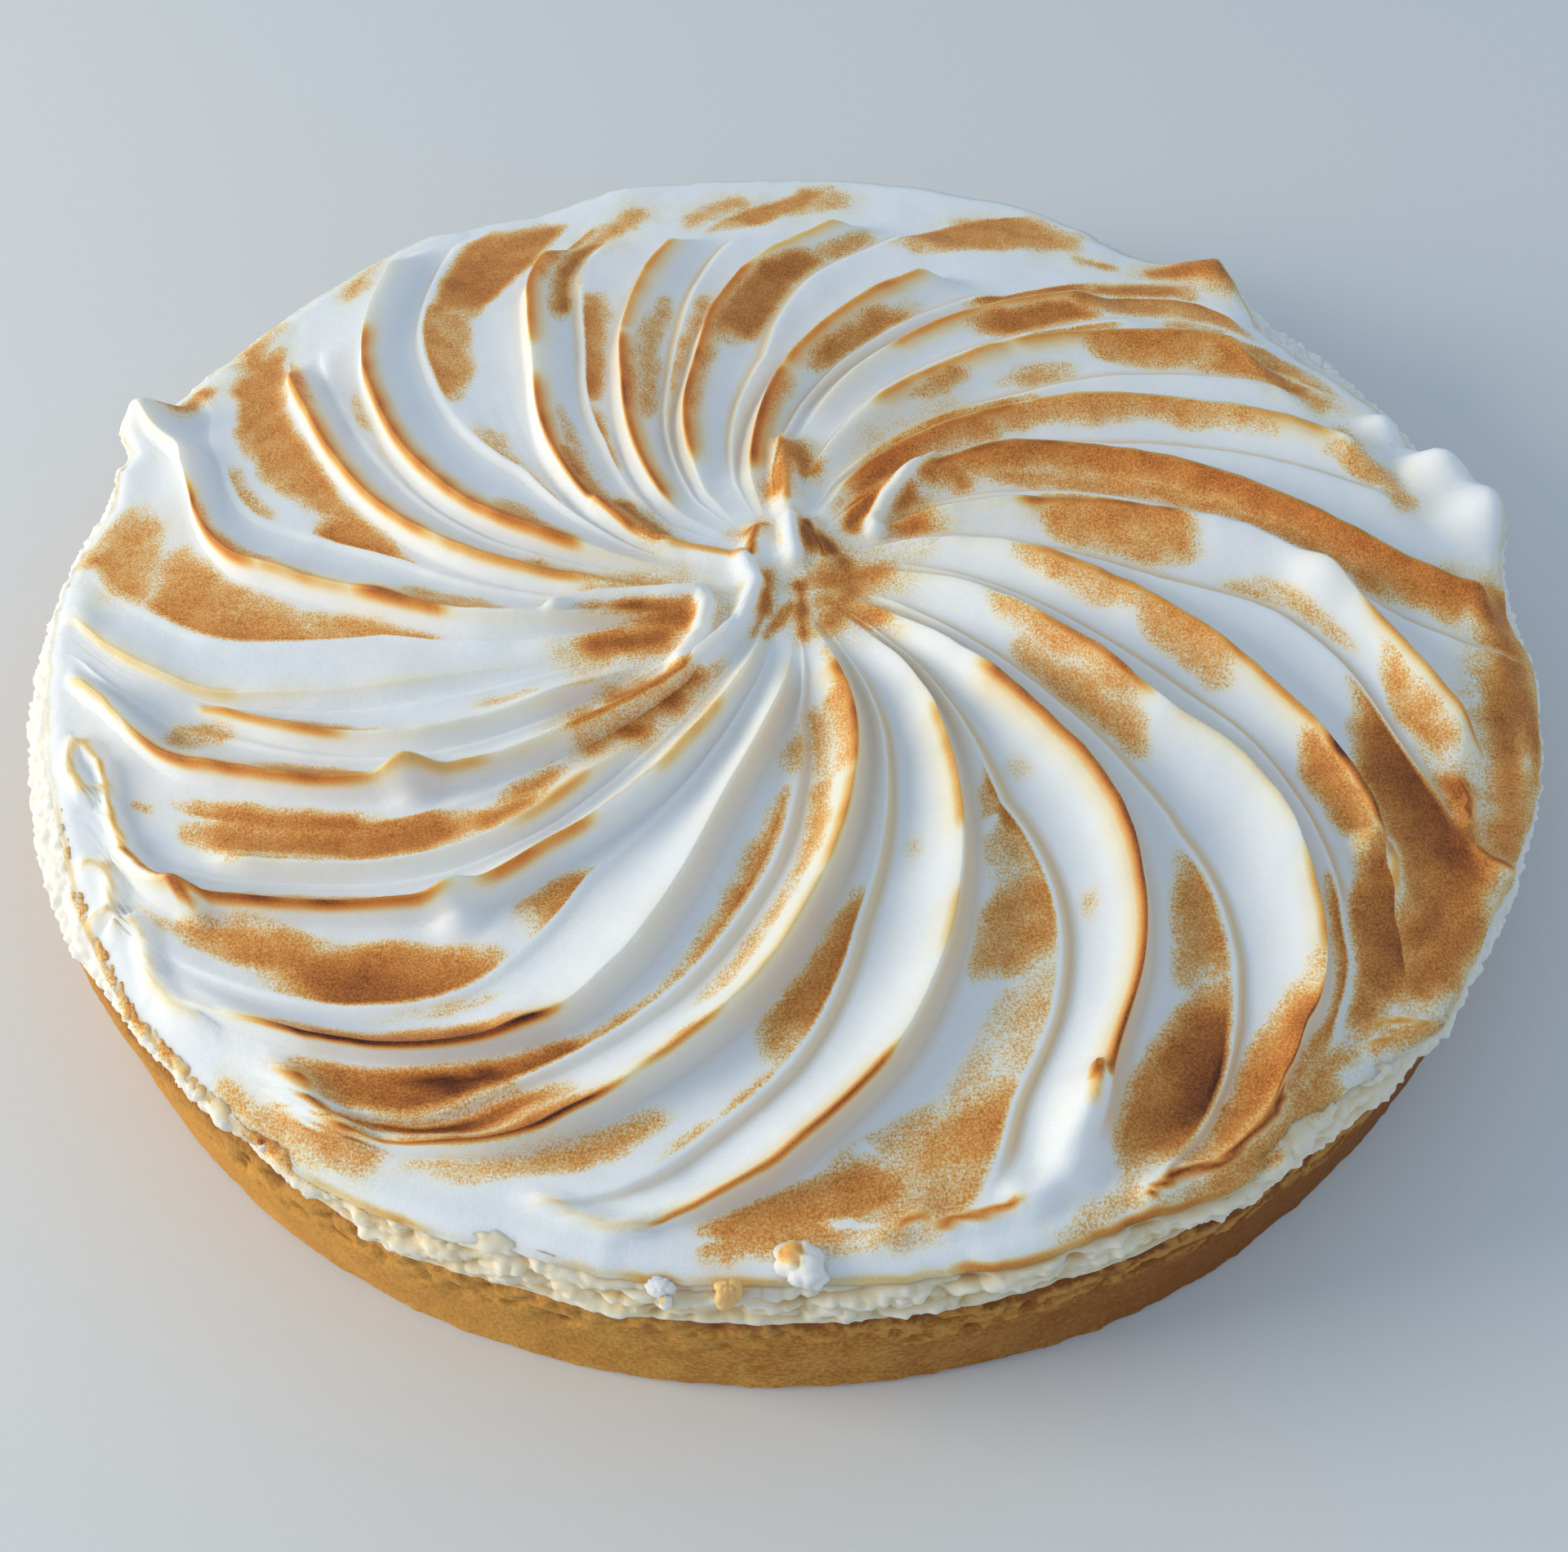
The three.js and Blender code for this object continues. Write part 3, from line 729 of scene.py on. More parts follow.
held = smooth(row, 2, 7) * (1 - smooth(row, foot_row - 2, foot_row + 1))
held = held * lerp(1, np.clip(0.3 + 0.8 * edge_rise, 0.1, 1), 1 - smooth(np.abs(row - crest_row), 1, 5))
along_r, along_z = np.gradient(edge_radius, axis=0), np.gradient(edge_height, axis=0)
step_length = np.hypot(along_r, along_z)
edge = polar(
    edge_bearing,
    edge_radius - bulge * held * along_z / step_length,
    edge_height + bulge * held * along_r / step_length)
crack = np.clip(0.5 * (1 - large) ** 2 + 0.3 * (1 - small) ** 2 + 0.6 * pit, 0, 1)
edge_reach = np.hypot(*edge[..., :2].T).max()
print(f"torn edge of {edge.shape[0]} rows by {edge.shape[1]} points, out to {edge_reach:.1f} mm")

# %% [markdown]
# ## Where the torch passed
#
# A flame browns what stands nearest to it. On a floor that is the side by its lip, on a ribbon the side by
# its crest, and the brown stops sharply at that edge and fades in grains behind it. So a patch is written
# by its gap: on the floor or on the ribbon, the radii and the shares of the width it lies between, and how
# dark it is. Round the middle and near the rim, where the strokes end, it is a plain sweep between two
# places instead, and so are a few small marks. A few patches have a darker heart, where the flame stood
# still.

# %% List the browned patches
# inner and outer radius, from share, to share, darkness: for each gap the floor's list, then the ribbon's
PATCHES = [
    ([(46, 78, -0.5, 1, 0.36), (108, 118, 0, 1, 0.5)],
     [(40, 100, 0.1, 0.6, 0.52), (28, 60, 0.45, 1, 0.6), (50, 115, 0.35, 1, 0.66)]),
    ([(36, 60, -0.2, 1, 0.42)],
     [(22, 50, 0.2, 1, 0.6), (46, 92, 0.4, 1, 0.44), (98, 107, 0.2, 0.9, 0.4)]),
    ([(30, 62, -0.5, 0.9, 0.52)],
     [(46, 57, 0.5, 0.9, 0.46), (58, 72, 0, 0.4, 0.3), (76, 102, 0.2, 1, 0.54),
      (92, 109, 0.1, 0.9, 0.58)]),
    ([(50, 72, 0, 1, 0.3), (74, 88, 0.3, 1, 0.5), (98, 114, -0.2, 0.9, 0.42)],
     [(70, 90, -0.1, 0.8, 0.62), (88, 112, 0, 1, 0.54)]),
    ([(78, 98, -0.3, 1, 0.6), (95, 108, -0.3, 0.8, 0.54)],
     [(48, 72, -0.1, 0.65, 0.52), (28, 45, 0.4, 1, 0.56)]),
    ([(94, 113, 0.2, 1, 0.54)],
     [(56, 86, 0, 0.8, 0.62), (85, 95, 0.1, 0.6, 0.42), (30, 76, 0.6, 1, 0.5)]),
    ([(36, 72, -0.5, 0.7, 0.48)],
     [(40, 75, 0.1, 0.6, 0.4), (36, 60, 0.6, 1, 0.58), (96, 112, -0.2, 0.8, 0.52)]),
    ([(34, 50, 0.3, 1, 0.52), (50, 80, 0.2, 1, 0.52)],
     [(40, 56, 0.35, 0.65, 0.36), (78, 101, -0.1, 0.55, 0.58), (88, 105, 0.55, 1, 0.5),
      (16, 38, 0.3, 1, 0.6)]),
    ([(38, 62, 0.6, 1, 0.34), (72, 95, 0.5, 1, 0.48), (90, 111, 0.15, 0.9, 0.6)],
     [(37, 49, 0.4, 1, 0.52)]),
    ([(60, 90, -0.4, 0.5, 0.36)],
     [(26, 42, 0.3, 1, 0.55), (84, 106, 0.6, 1, 0.5)]),
    ([(60, 77, 0, 1, 0.6), (75, 101, 0, 0.6, 0.5), (84, 98, 0.75, 1, 0.42), (97, 113, -0.1, 0.7, 0.54)],
     [(45, 61, 0.3, 1, 0.46), (72, 101, 0.75, 1, 0.42)]),
    ([(55, 76, -0.1, 1, 0.46), (74, 101, 0, 1, 0.56), (101, 115, 0.4, 1, 0.5)],
     []),
    ([(80, 94, -0.2, 1, 0.45)],
     [(70, 92, 0.3, 1, 0.48), (44, 56, 0.1, 0.6, 0.28)]),
    ([(90, 97, 0.5, 1, 0.4)],
     [(72, 88, 0.4, 1, 0.55), (94, 102, 0.6, 1, 0.3), (26, 46, 0.2, 1, 0.55)]),
    ([(48, 57, 0, 1, 0.55), (77, 99, 0.35, 1, 0.62)],
     [(52, 62, -0.2, 0.5, 0.55), (58, 70, 0.3, 0.9, 0.58), (68, 99, -0.4, 0.85, 0.6)]),
    ([(84, 98, -0.4, 0.6, 0.42)],
     [(22, 60, 0.4, 1, 0.3), (64, 73, 0.4, 1, 0.42), (84, 100, 0.4, 1, 0.48)]),
    ([(64, 77, 0.1, 1, 0.5), (84, 102, 0.25, 1, 0.62), (94, 107, -0.1, 0.6, 0.52)],
     [(88, 98, 0, 0.25, 0.36), (92, 106, 0.55, 1, 0.62)]),
    ([(47, 77, 0.5, 1, 0.7), (75, 90, 0.5, 1, 0.42), (89, 109, 0, 1, 0.7), (96, 106, 0.3, 0.95, 0.86)],
     [(46, 64, 0.1, 0.55, 0.52), (60, 82, 0.1, 0.5, 0.38), (97, 111, -0.1, 0.5, 0.72),
      (96, 110, 0.6, 1, 0.7), (32, 46, 0, 0.45, 0.46), (85, 93, 0.8, 1, 0.4), (20, 48, 0.55, 1, 0.5)]),
    ([(66, 87, 0.1, 1, 0.6), (86, 104, 0.8, 1, 0.42), (99, 110, -0.3, 0.55, 0.42)],
     [(57, 62, 0.15, 0.4, 0.2)]),
    ([(54, 71, 0.2, 1, 0.34), (51, 74, 0.8, 1, 0.62), (70, 83, 0.05, 1, 0.52), (83, 100, 0.4, 1, 0.26),
      (96, 114, 0.1, 1, 0.34), (98, 107, 0.5, 1, 0.56), (104, 113, 0, 0.6, 0.55)],
     [(52, 58, 0.15, 0.4, 0.22), (76, 81, 0.15, 0.45, 0.22)]),
    ([(81, 96, 0.25, 1, 0.5), (95, 101, 0.85, 1, 0.34), (97, 112, 0, 1, 0.64), (103, 110, 0.7, 1, 0.8)],
     [(42, 68, 0, 0.6, 0.42), (34, 62, 0.5, 1, 0.4), (104, 114, 0.1, 1, 0.64)]),
    ([(98, 114, 0.1, 1, 0.58)],
     [(100, 114, 0, 1, 0.66), (56, 74, 0.25, 1, 0.48), (85, 100, 0.3, 0.95, 0.56),
      (38, 58, 0.5, 1, 0.42)]),
    ([(91, 117, 0, 1, 0.68)],
     [(70, 80, 0, 0.2, 0.38), (42, 67, 0.1, 1, 0.54), (75, 90, 0.1, 0.4, 0.3),
      (95, 106, 0.2, 0.85, 0.42)]),
]
# from bearing, from radius, to bearing, to radius, half the flame's width, darkness
SWEEPS = [
    # small marks on the left floors
    (200.1, 95.7, 200.8, 90.4, 2.2, 0.42), (215.9, 95.6, 221.5, 86.2, 1.6, 0.42),
    # near the rim
    (205.2, 105.7, 206.8, 103.4, 1.2, 0.32), (231, 116, 238, 115.5, 2, 0.36),
    (236, 114, 242, 112.5, 2.4, 0.42), (286.5, 117, 291, 115, 2, 0.3), (293, 118, 306, 117, 2, 0.5),
    (296, 113, 300, 113, 2.5, 0.45), (298.5, 112.5, 306, 111, 2.5, 0.6), (300, 118, 309, 114, 2, 0.5),
    (311, 115.5, 316, 118, 1.5, 0.4), (317, 113, 324, 116, 4, 0.66), (320, 110, 328, 113, 4, 0.7),
    (328, 111, 334, 107, 4, 0.7), (331, 116, 356, 116, 4, 0.64), (340, 118, 346, 115, 3.5, 0.66),
    (353, 113, 357, 108, 3, 0.7), (8, 105, 18, 105, 3, 0.34), (23, 107, 30, 102, 4, 0.5),
    (36, 103, 40, 98, 3, 0.42), (42, 117, 47, 112, 3.5, 0.62), (45.5, 105, 49, 98, 2.5, 0.5),
    (52, 108, 55, 106, 2.5, 0.45), (60, 106, 68, 104, 4, 0.42), (84, 108, 90, 104, 4, 0.42),
    (94, 108, 99, 102, 3, 0.42), (105, 106, 110, 100, 3.5, 0.45), (132, 117, 136, 113, 2.5, 0.36),
    (143, 118, 150, 112, 3, 0.35), (149, 113, 152, 106, 2.5, 0.5), (174, 109, 179, 107, 4, 0.5),
    (155, 114, 158, 113, 2, 0.55), (147, 116, 151, 108, 4, 0.5),
    # round the middle
    (195, 30, 203, 20, 4.5, 0.6), (203, 26, 218, 20, 4.5, 0.7), (212, 33, 221, 25, 3.5, 0.75),
    (228, 44, 238, 41, 2.5, 0.7), (229, 38, 240, 33, 3.5, 0.72), (180, 39, 185, 36, 1.5, 0.5),
    (300, 16, 330, 13, 3, 0.6), (330, 13, 355, 11, 2.5, 0.66), (10, 8.5, 40, 8.5, 1.5, 0.8),
    (50, 6, 68, 9, 2, 0.55), (105, 8, 130, 7.5, 1.5, 0.7), (240, 9, 250, 16, 1.5, 0.55),
    (17, 23, 32, 25, 3.5, 0.66), (28, 35, 38, 34, 2.5, 0.55), (38, 18, 46, 23, 3, 0.72),
    (44, 26, 50, 34, 3.5, 0.6), (76, 22, 84, 27, 2.2, 0.6), (80, 24, 90, 27, 1.8, 0.6),
    (154, 28, 166, 20, 2.2, 0.62), (145, 44, 150, 39, 2.2, 0.6), (274, 41, 278, 36, 3, 0.42),
    (33, 14, 46.6, 21.7, 2, 0.72), (46.6, 21.7, 51, 31.5, 3, 0.64), (51, 31.5, 47.4, 45.3, 4, 0.56),
    (240, 4, 258, 12, 1.3, 0.66), (258, 12, 256, 17, 1.1, 0.5), (299, 7, 282, 17, 1.4, 0.7),
    (281, 10, 262, 17, 1.2, 0.55), (330, 9, 350, 16, 4, 0.6), (310, 12, 318, 20, 3, 0.55),
    (240, 29, 235, 37, 3, 0.72), (235, 37, 231.5, 46, 3.2, 0.7), (86, 26, 90, 16, 2.2, 0.62),
    (28, 6, 52, 7, 2.6, 0.8),
]
# the darker hearts of some patches: their line, half their width and how much darker they are
HEARTS = [
    (229.5, 97.5, 234, 93.5, 8, 0.36), (240.5, 103.4, 245.1, 98, 7, 0.1), (242, 109, 247, 105.4, 4, 0.3),
    (302.3, 103.6, 296, 110.7, 8, 0.25), (333.3, 97.7, 329.5, 108.3, 9, 0.2),
]
patch_count = sum(len(rows) for gap_patches in PATCHES for rows in gap_patches)
print(f"{patch_count} patches, {len(SWEEPS)} sweeps and {len(HEARTS)} darker hearts")

# %% Brown the surface
PATCH_FADE = 4
SIDE_FADE = 2.2
# how many times as wide and how strong: the brown itself, then the pale haze round it
HAZES = ((1, 1), (2.4, 0.36))


def flame_drift(points):
    """How far the flame wandered off its line, in millimetres."""
    return 1.8 * noise(points, 8, seed=13) + 1.2 * noise(points, 3, seed=14)


def toasted(gap, patches):
    """How brown the patches leave one gap: densest at the edge they reach, with a pale haze round them."""
    radius = rings[:, None]
    drift = flame_drift(polar(gap.bearing, radius, 0))
    place = gap.across + 0.6 * drift / gap.zone_width
    brown = np.zeros_like(gap.across)
    placed = [(zone, *patch) for zone, rows in zip((FLOOR, RIBBON), patches) for patch in rows]
    for (zone, inner, outer, low, high, strength), (spread, share) in itertools.product(placed, HAZES):
        fade = spread * min(PATCH_FADE, 0.3 * (outer - inner) + 1)
        soft = spread * SIDE_FADE / gap.zone_width
        along = stretch(radius + drift, inner, outer, fade)
        from_middle = np.clip(np.abs(2 * (radius - inner) / (outer - inner) - 1), 0, 1)
        start = lerp(low, high, 0.3 * from_middle**4)
        side = smooth(place, start - soft, start + soft)
        if high < 1:
            side = side * (1 - smooth(place, high - soft, high + soft))
        else:
            side = side * lerp(0.72, 1.08, np.clip((place - start) / (1 - start), 0, 1))
        brown = np.maximum(brown, share * strength * along * side * (gap.zone == zone))
    return brown


def swept(points):
    """How brown the plain sweeps leave points (..., 3): the darkest one counts."""
    drift = flame_drift(points)
    brown = np.zeros(points.shape[:-1])
    for *line, half, strength in SWEEPS:
        distance = near_path(points, (line[:2], line[2:])) + 0.5 * drift
        for spread, share in HAZES:
            brown = np.maximum(brown, share * strength * (1 - smooth(distance / half, 0, 1.7 * spread)))
    return brown


patched = np.hstack([toasted(gap, patches) for gap, patches in zip(gaps, PATCHES)])
uneven_flame = 1 + 0.12 * noise(plan, 11, seed=21)
for *line, half, gain in HEARTS:
    off_line = near_path(plan, (line[:2], line[2:]))
    uneven_flame = uneven_flame + gain * (1 - smooth(off_line / half, 0, 1))
top_toast = np.maximum(patched * uneven_flame, swept(plan)) * (1 - 0.8 * steep) * (1 - 0.85 * ridge_bare)
rim_line = np.interp(bearing % 360, marks[0], marks[3], period=360)
rim_line = rim_line * smooth(radius, RIM_RADIUS - 1.4, RIM_RADIUS - 0.3)
ragged_line = np.clip(0.8 + 0.7 * noise(plan, 5, seed=12), 0, 1)
top_scorch = np.maximum(np.maximum(line_burn * (1 - ridge_bare), ridge_burn), rim_line * ragged_line)
# Painted warm shade: a creamy tint on the steep faces and at the foot of each drop, less of it on the
# window's side.
top_painted_warm_shade = steep * lerp(1, 0.1, facing(bearing, OPEN_SIDE, 0, 0.7))
on_crest = 1 - smooth(np.abs(row - crest_row), 0.5, 4.5)
thin_line = 1 - smooth(np.abs(row - crest_row - 0.5), 0.5, 2.2)
thin_line = thin_line * np.clip(0.75 + 0.6 * noise(edge_plain, 5, seed=12), 0, 1)
edge_toasted = edge_toast * on_crest * np.clip(0.8 + 0.9 * noise(edge_plain, 3, seed=16), 0, 1.2)
# Painted shade: besides the burnt line, the cracks and pits of the rough front are darkened.
edge_scorch_and_crack_shade = np.maximum(edge_line * thin_line, 0.02 + 0.26 * crack * rough)
browned = (top_toast > 0.3).mean()
print(f"the flame browned {100 * browned:.0f} percent of the swirl's points")

# %% [markdown]
# ## Closed skins
#
# The swirl goes straight down at its rim to the flat bed and closes there, and the torn edge is closed
# like a hoop. How toasted and how scorched each point is travels with the meshes as attributes. The
# burn also holds painted shade in the torn edge's cracks, and a creamy tint is painted warm shade on
# the steep drops and the torn edge; the puffs keep a little of it as their own colour.


# %% Join the faces
def ring_quads(first, second, count):
    """Quads between two closed rings of point numbers, first inside or above second."""
    here = np.arange(count)
    beyond = (here + 1) % count
    return np.stack([first + here, second + here, second + beyond, first + beyond], axis=-1)


def grid_quads(start, rows, count):
    """Quads between rows of points, each row a closed ring."""
    firsts = start + count * np.arange(rows - 1)
    return np.vstack([ring_quads(first, first + count, count) for first in firsts])


def skin(name, points, faces, attributes, finish):
    """A smooth mesh object in metres with one float attribute for each given array."""
    mesh = bpy.data.meshes.new(name)
    mesh.from_pydata(points * MM, [], [face for group in faces for face in group.tolist()])
    for key, values in attributes.items():
        mesh.attributes.new(key, "FLOAT", "POINT").data.foreach_set("value", values.astype(np.float32))
    mesh.shade_smooth()
    mesh.materials.append(finish)
    piece = bpy.data.objects.new(name, mesh)
    bpy.context.scene.collection.objects.link(piece)
    return piece


def closed_by_points(rows, count):
    """Faces of a closed skin: a first point, rows of a ring each, and a last point."""
    column = np.arange(count)
    beyond = np.roll(column, -1)
    last_row, last_point = 1 + (rows - 1) * count, 1 + rows * count
    return [
        np.stack([0 * column, 1 + column, 1 + beyond], axis=-1),
        grid_quads(1, rows, count),
        np.stack([last_row + beyond, last_row + column, 0 * column + last_point], axis=-1),
    ]


def framed(values):
    """A value for the first point, the rows and the last point."""
    return np.concatenate([[0], values.ravel(), np.zeros(column_count), [0]])


ring_count, column_count = bearing.shape
bed_ring = polar(bearing[-1], RIM_RADIUS - 1, BED_HEIGHT)
middle_point, bed_point = [[0, 0, top[0, :, 2].mean()]], [[0, 0, BED_HEIGHT]]
points = np.vstack([middle_point, top.reshape(-1, 3), bed_ring, bed_point])
faces = closed_by_points(ring_count + 1, column_count)
top_marks = {"toast": framed(top_toast), "scorch": framed(top_scorch), "cream": framed(top_painted_warm_shade)}

edge_rows = len(edge)
last_edge_row = (edge_rows - 1) * EDGE_COLUMNS
edge_faces = [grid_quads(0, edge_rows, EDGE_COLUMNS), ring_quads(last_edge_row, 0, EDGE_COLUMNS)]
edge_marks = {
    "toast": edge_toasted.ravel(),
    "scorch": edge_scorch_and_crack_shade.ravel(),
    # Painted warm shade: a creamy tint on the torn edge, strongest on its rough front.
    "cream": np.broadcast_to(lerp(0.25, 0.6, rough), crack.shape).ravel(),
}
for name, group in (("swirl", faces), ("edge", edge_faces)):
    print(f"{name} of {sum(len(part) * (part.shape[1] - 2) for part in group)} triangles")

# %% [markdown]
# ## The finish of torched meringue
#
# Raw meringue is white, soft and a little translucent, with a fine sandy grain. Torched sugar goes through
# cream, tan and caramel to nearly black, and its edge isn't a blur but a stipple: single grains brown
# before their neighbours. So fine noise is added to the mesh's brownness before a colour ramp reads it.

# %% Mix the meringue's finish
MERINGUE_WHITE = (0.86, 0.86, 0.86)
# A creamy tint: painted warm shade on the steep drops and the torn edge, and the puffs' own colour.
MERINGUE_CREAM_AND_SHADE = (0.97, 0.78, 0.52, 1)
TOAST_STOPS = [
    (0.0, MERINGUE_WHITE), (0.12, (0.88, 0.80, 0.64)), (0.28, (0.84, 0.59, 0.28)),
    (0.44, (0.80, 0.38, 0.10)), (0.6, (0.65, 0.235, 0.045)), (0.78, (0.36, 0.105, 0.02)),
    (0.92, (0.14, 0.038, 0.01)), (1.0, (0.04, 0.012, 0.005)),
]


def torched_meringue():
    material, tree, shader = new_finish("torched_meringue")
    place = tree.make("ShaderNodeTexCoord", out="Object")
    toast, scorch, cream = (
        tree.make("ShaderNodeAttribute", {"attribute_name": name}, out="Fac")
        for name in ("toast", "scorch", "cream"))
    grain = speckle(tree, place, 0.33, 1)
    cloud = speckle(tree, place, 4)
    pores = speckle(tree, place, 1.4)
    touched = toast.between(0.02, 0.25)
    grains = (grain - 0.5) * 1.1 + (cloud - 0.5) * 0.55
    stippled = toast * toast.between(0, 0.2) + touched * (1.1 - toast) * grains
    darkest = tree.maths("MAXIMUM", stippled, scorch + scorch * (grain - 0.5) * 0.3)
    brown = tree.make("ShaderNodeValToRGB", {"stops": TOAST_STOPS}, {"Fac": darkest})
    # Multiplying in the creamy tint paints warm shade on the steep drops and the torn edge; on the puffs it
    # is their own colour.
    shaded = tree.make("ShaderNodeMix", {"data_type": "RGBA", "blend_type": "MULTIPLY"},
                       {0: cream, 6: brown, 7: MERINGUE_CREAM_AND_SHADE}, out=2)
    tree.plug(shader, {
        "Base Color": shaded,
        "Roughness": 0.62 - darkest * 0.15,
        "Normal": (grain * 0.4 + pores * 0.6).bump(0.4, 0.4),
        "Specular IOR Level": 0.25,
        "Subsurface Weight": 0.65,
        "Subsurface Radius": (1.0, 0.88, 0.6),
        "Subsurface Scale": 4 * MM,
    })
    return material


meringue_finish = torched_meringue()
swirl = skin("meringue_swirl", points, faces, top_marks, meringue_finish)
torn_edge = skin("meringue_edge", edge.reshape(-1, 3), edge_faces, edge_marks, meringue_finish)
for piece in (swirl, torn_edge):
    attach(piece, "root")
    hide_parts("meringue")
print(f"{swirl.name} and {torn_edge.name} stand for the meringue")

# %% [markdown]
# ## Puffs on the rim
#
# A knob, a drip and a burnt spot of meringue were left where the knife came off. Each is one or two balls
# of points pushed in and out by noise and sunk into the rim, and all of them are one mesh. The golden
# flake that dried on the torn edge is a squarer ball with a mesh of its own.

# %% Set the puffs
# bearing, radius, height, half sizes along the rim, across it and up, how toasted, twist off the rim
PUFFS = [
    (270.6, 115.4, 32, (3.5, 2.6, 2.5), 0.42, -35), (262.4, 118.3, 30.7, (1.8, 1.2, 0.9), 0, 0),
    (262.8, 119.8, 29.7, (0.8, 0.8, 1.4), 0.36, 0), (235.6, 118.2, 29.6, (1.1, 0.8, 0.6), 0.8, 0),
]
PUFF_ROWS, PUFF_COLUMNS = 24, 46
SCORCHED_END = (-0.55, 0.1, 0.83)
# a dry golden flake on the torn edge: its bearing, radius and height, and half its sizes
FLAKE_PLACE = (266.4, 118.8, 31.5)
FLAKE_SIZES = (1.6, 1, 2.6)
FLAKE_TWIST = 20
FLAKE_TOAST = 0.36


def ball(rows, columns):
    """Directions over a ball: its top, rows of points and its foot."""
    slope = np.linspace(0, math.pi, rows + 2)[1:-1, None]
    around = polar(np.linspace(0, 360, columns, endpoint=False), np.sin(slope), np.cos(slope))
    return np.vstack([[[0, 0, 1]], around.reshape(-1, 3), [[0, 0, -1]]])


def puff(place, sizes, turn, shape, seed):
    """A lumpy ball of points round a place, its length turned by an angle in degrees."""
    angle = math.radians(turn)
    sine, cosine = math.sin(angle), math.cos(angle)
    axes = np.array([[-sine, cosine, 0], [cosine, sine, 0], [0, 0, 1]])
    plain = place + (shape * sizes) @ axes
    lumpy = 0.94 + 0.2 * (puffs(plain, 0.8 * min(sizes), seed) - 0.3) + 0.12 * noise(plain, 1.2, seed + 1)
    return place + (plain - place) * lumpy[:, None]


shape = ball(PUFF_ROWS, PUFF_COLUMNS)
shape_faces = closed_by_points(PUFF_ROWS, PUFF_COLUMNS)
puff_points, puff_faces, puff_toast = [], [], []
for index, (turn, out, up, sizes, browning, twist) in enumerate(PUFFS):
    blob = puff(polar(turn, out, up), np.array(sizes), turn + twist, shape, 30 + index)
    puff_points.append(blob)
    puff_faces += [index * len(shape) + group for group in shape_faces]
    puff_toast.append(browning * smooth(shape @ SCORCHED_END + 0.16 * noise(blob, 1.2, 40), 0.68, 0.95))
puff_toast = np.concatenate(puff_toast)
puff_marks = {"toast": 0 * puff_toast, "scorch": puff_toast, "cream": np.full(len(puff_toast), 0.25)}
loose = skin("meringue_puffs", np.vstack(puff_points), puff_faces, puff_marks, meringue_finish)

squared = shape / np.abs(shape).max(axis=1, keepdims=True) ** 0.5
flake_points = puff(polar(*FLAKE_PLACE), np.array(FLAKE_SIZES), FLAKE_PLACE[0] + FLAKE_TWIST, squared, 51)
flake_marks = {"scorch": np.full(len(shape), FLAKE_TOAST)}
flake = skin("golden_flake", flake_points, shape_faces, flake_marks, meringue_finish)
for piece in (loose, flake):
    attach(piece, "root")
print(f"{len(PUFFS)} puffs and a golden flake")

# %% [markdown]
# ## The baked case
#
# Shortcrust is pressed crumbs: sandy all over, broken into flakes near the brim and gritty at its foot.
# The wall is a fine grid on the case's own outline, pushed in and out by noise, and no deeper than a
# crumb.

# %% Shape the case
CASE_COLUMNS = 1100
FOOT_ROUND = 1.6
BRIM_ROUND = 0.8
WALL_STEPS = 52


def case_outline():
    """Radius and height down the wall, from the brim's inner edge round to the foot's inner edge."""
    brim = np.linspace(math.pi / 2, 0, 5)
    foot = np.linspace(0, -math.pi / 2, 6)
    straight = np.linspace(CASE_HEIGHT - BRIM_ROUND, FOOT_ROUND, WALL_STEPS)[1:-1]
    across = np.concatenate([
        CASE_RADIUS - BRIM_ROUND * (1 - np.cos(brim)),
        np.full_like(straight, CASE_RADIUS),
        CASE_RADIUS - FOOT_ROUND * (1 - np.cos(foot)),
    ])
    up = np.concatenate([
        CASE_HEIGHT - BRIM_ROUND * (1 - np.sin(brim)),
        straight,
        FOOT_ROUND * (1 + np.sin(foot)),
    ])
    return across[:, None], up[:, None]


across, up = case_outline()
case_bearing = np.linspace(0, 360, CASE_COLUMNS, endpoint=False)
plain = polar(case_bearing, across, up)
crumbly = smooth(up / CASE_HEIGHT + 0.12 * noise(plain, 9, seed=20), 0.55, 0.85)
crumbly = crumbly * lerp(0.3, 1, facing(case_bearing, ROUGH_SIDE, 0.5, 0.9))
gritty = 1 - smooth(up, 0.5, 3)
pits = np.maximum(0, noise(plain, 2.4, seed=21)) + 0.5 * np.maximum(0, noise(plain, 1.3, seed=22))
sand = 0.35 * noise(plain, 26, seed=23) + 0.16 * noise(plain, 4, seed=24) + 0.1 * noise(plain, 1.4, seed=25)
grit = 0.5 * np.maximum(0, noise(plain, 1.9, seed=26) - 0.2)
case_push = sand + crumbly * (0.5 - 1.6 * pits) + gritty * grit
case_push = case_push * smooth(up, 0, 0.4) * smooth(up, CASE_HEIGHT, CASE_HEIGHT - 0.5)
case_points = polar(case_bearing, across + case_push - 0.2, up)
crumb = np.clip(0.5 + 1.2 * (0.3 - pits) * crumbly + 0.8 * grit * gritty, 0, 1)

case_all = np.vstack([[[0, 0, CASE_HEIGHT]], case_points.reshape(-1, 3), [[0, 0, 0]]])
case_faces = closed_by_points(len(up), CASE_COLUMNS)
case_crumb = np.concatenate([[0.5], crumb.ravel(), [0.5]])
print(f"case of {len(case_all)} points, pushed {case_push.min():.2f} to {case_push.max():.2f} mm")

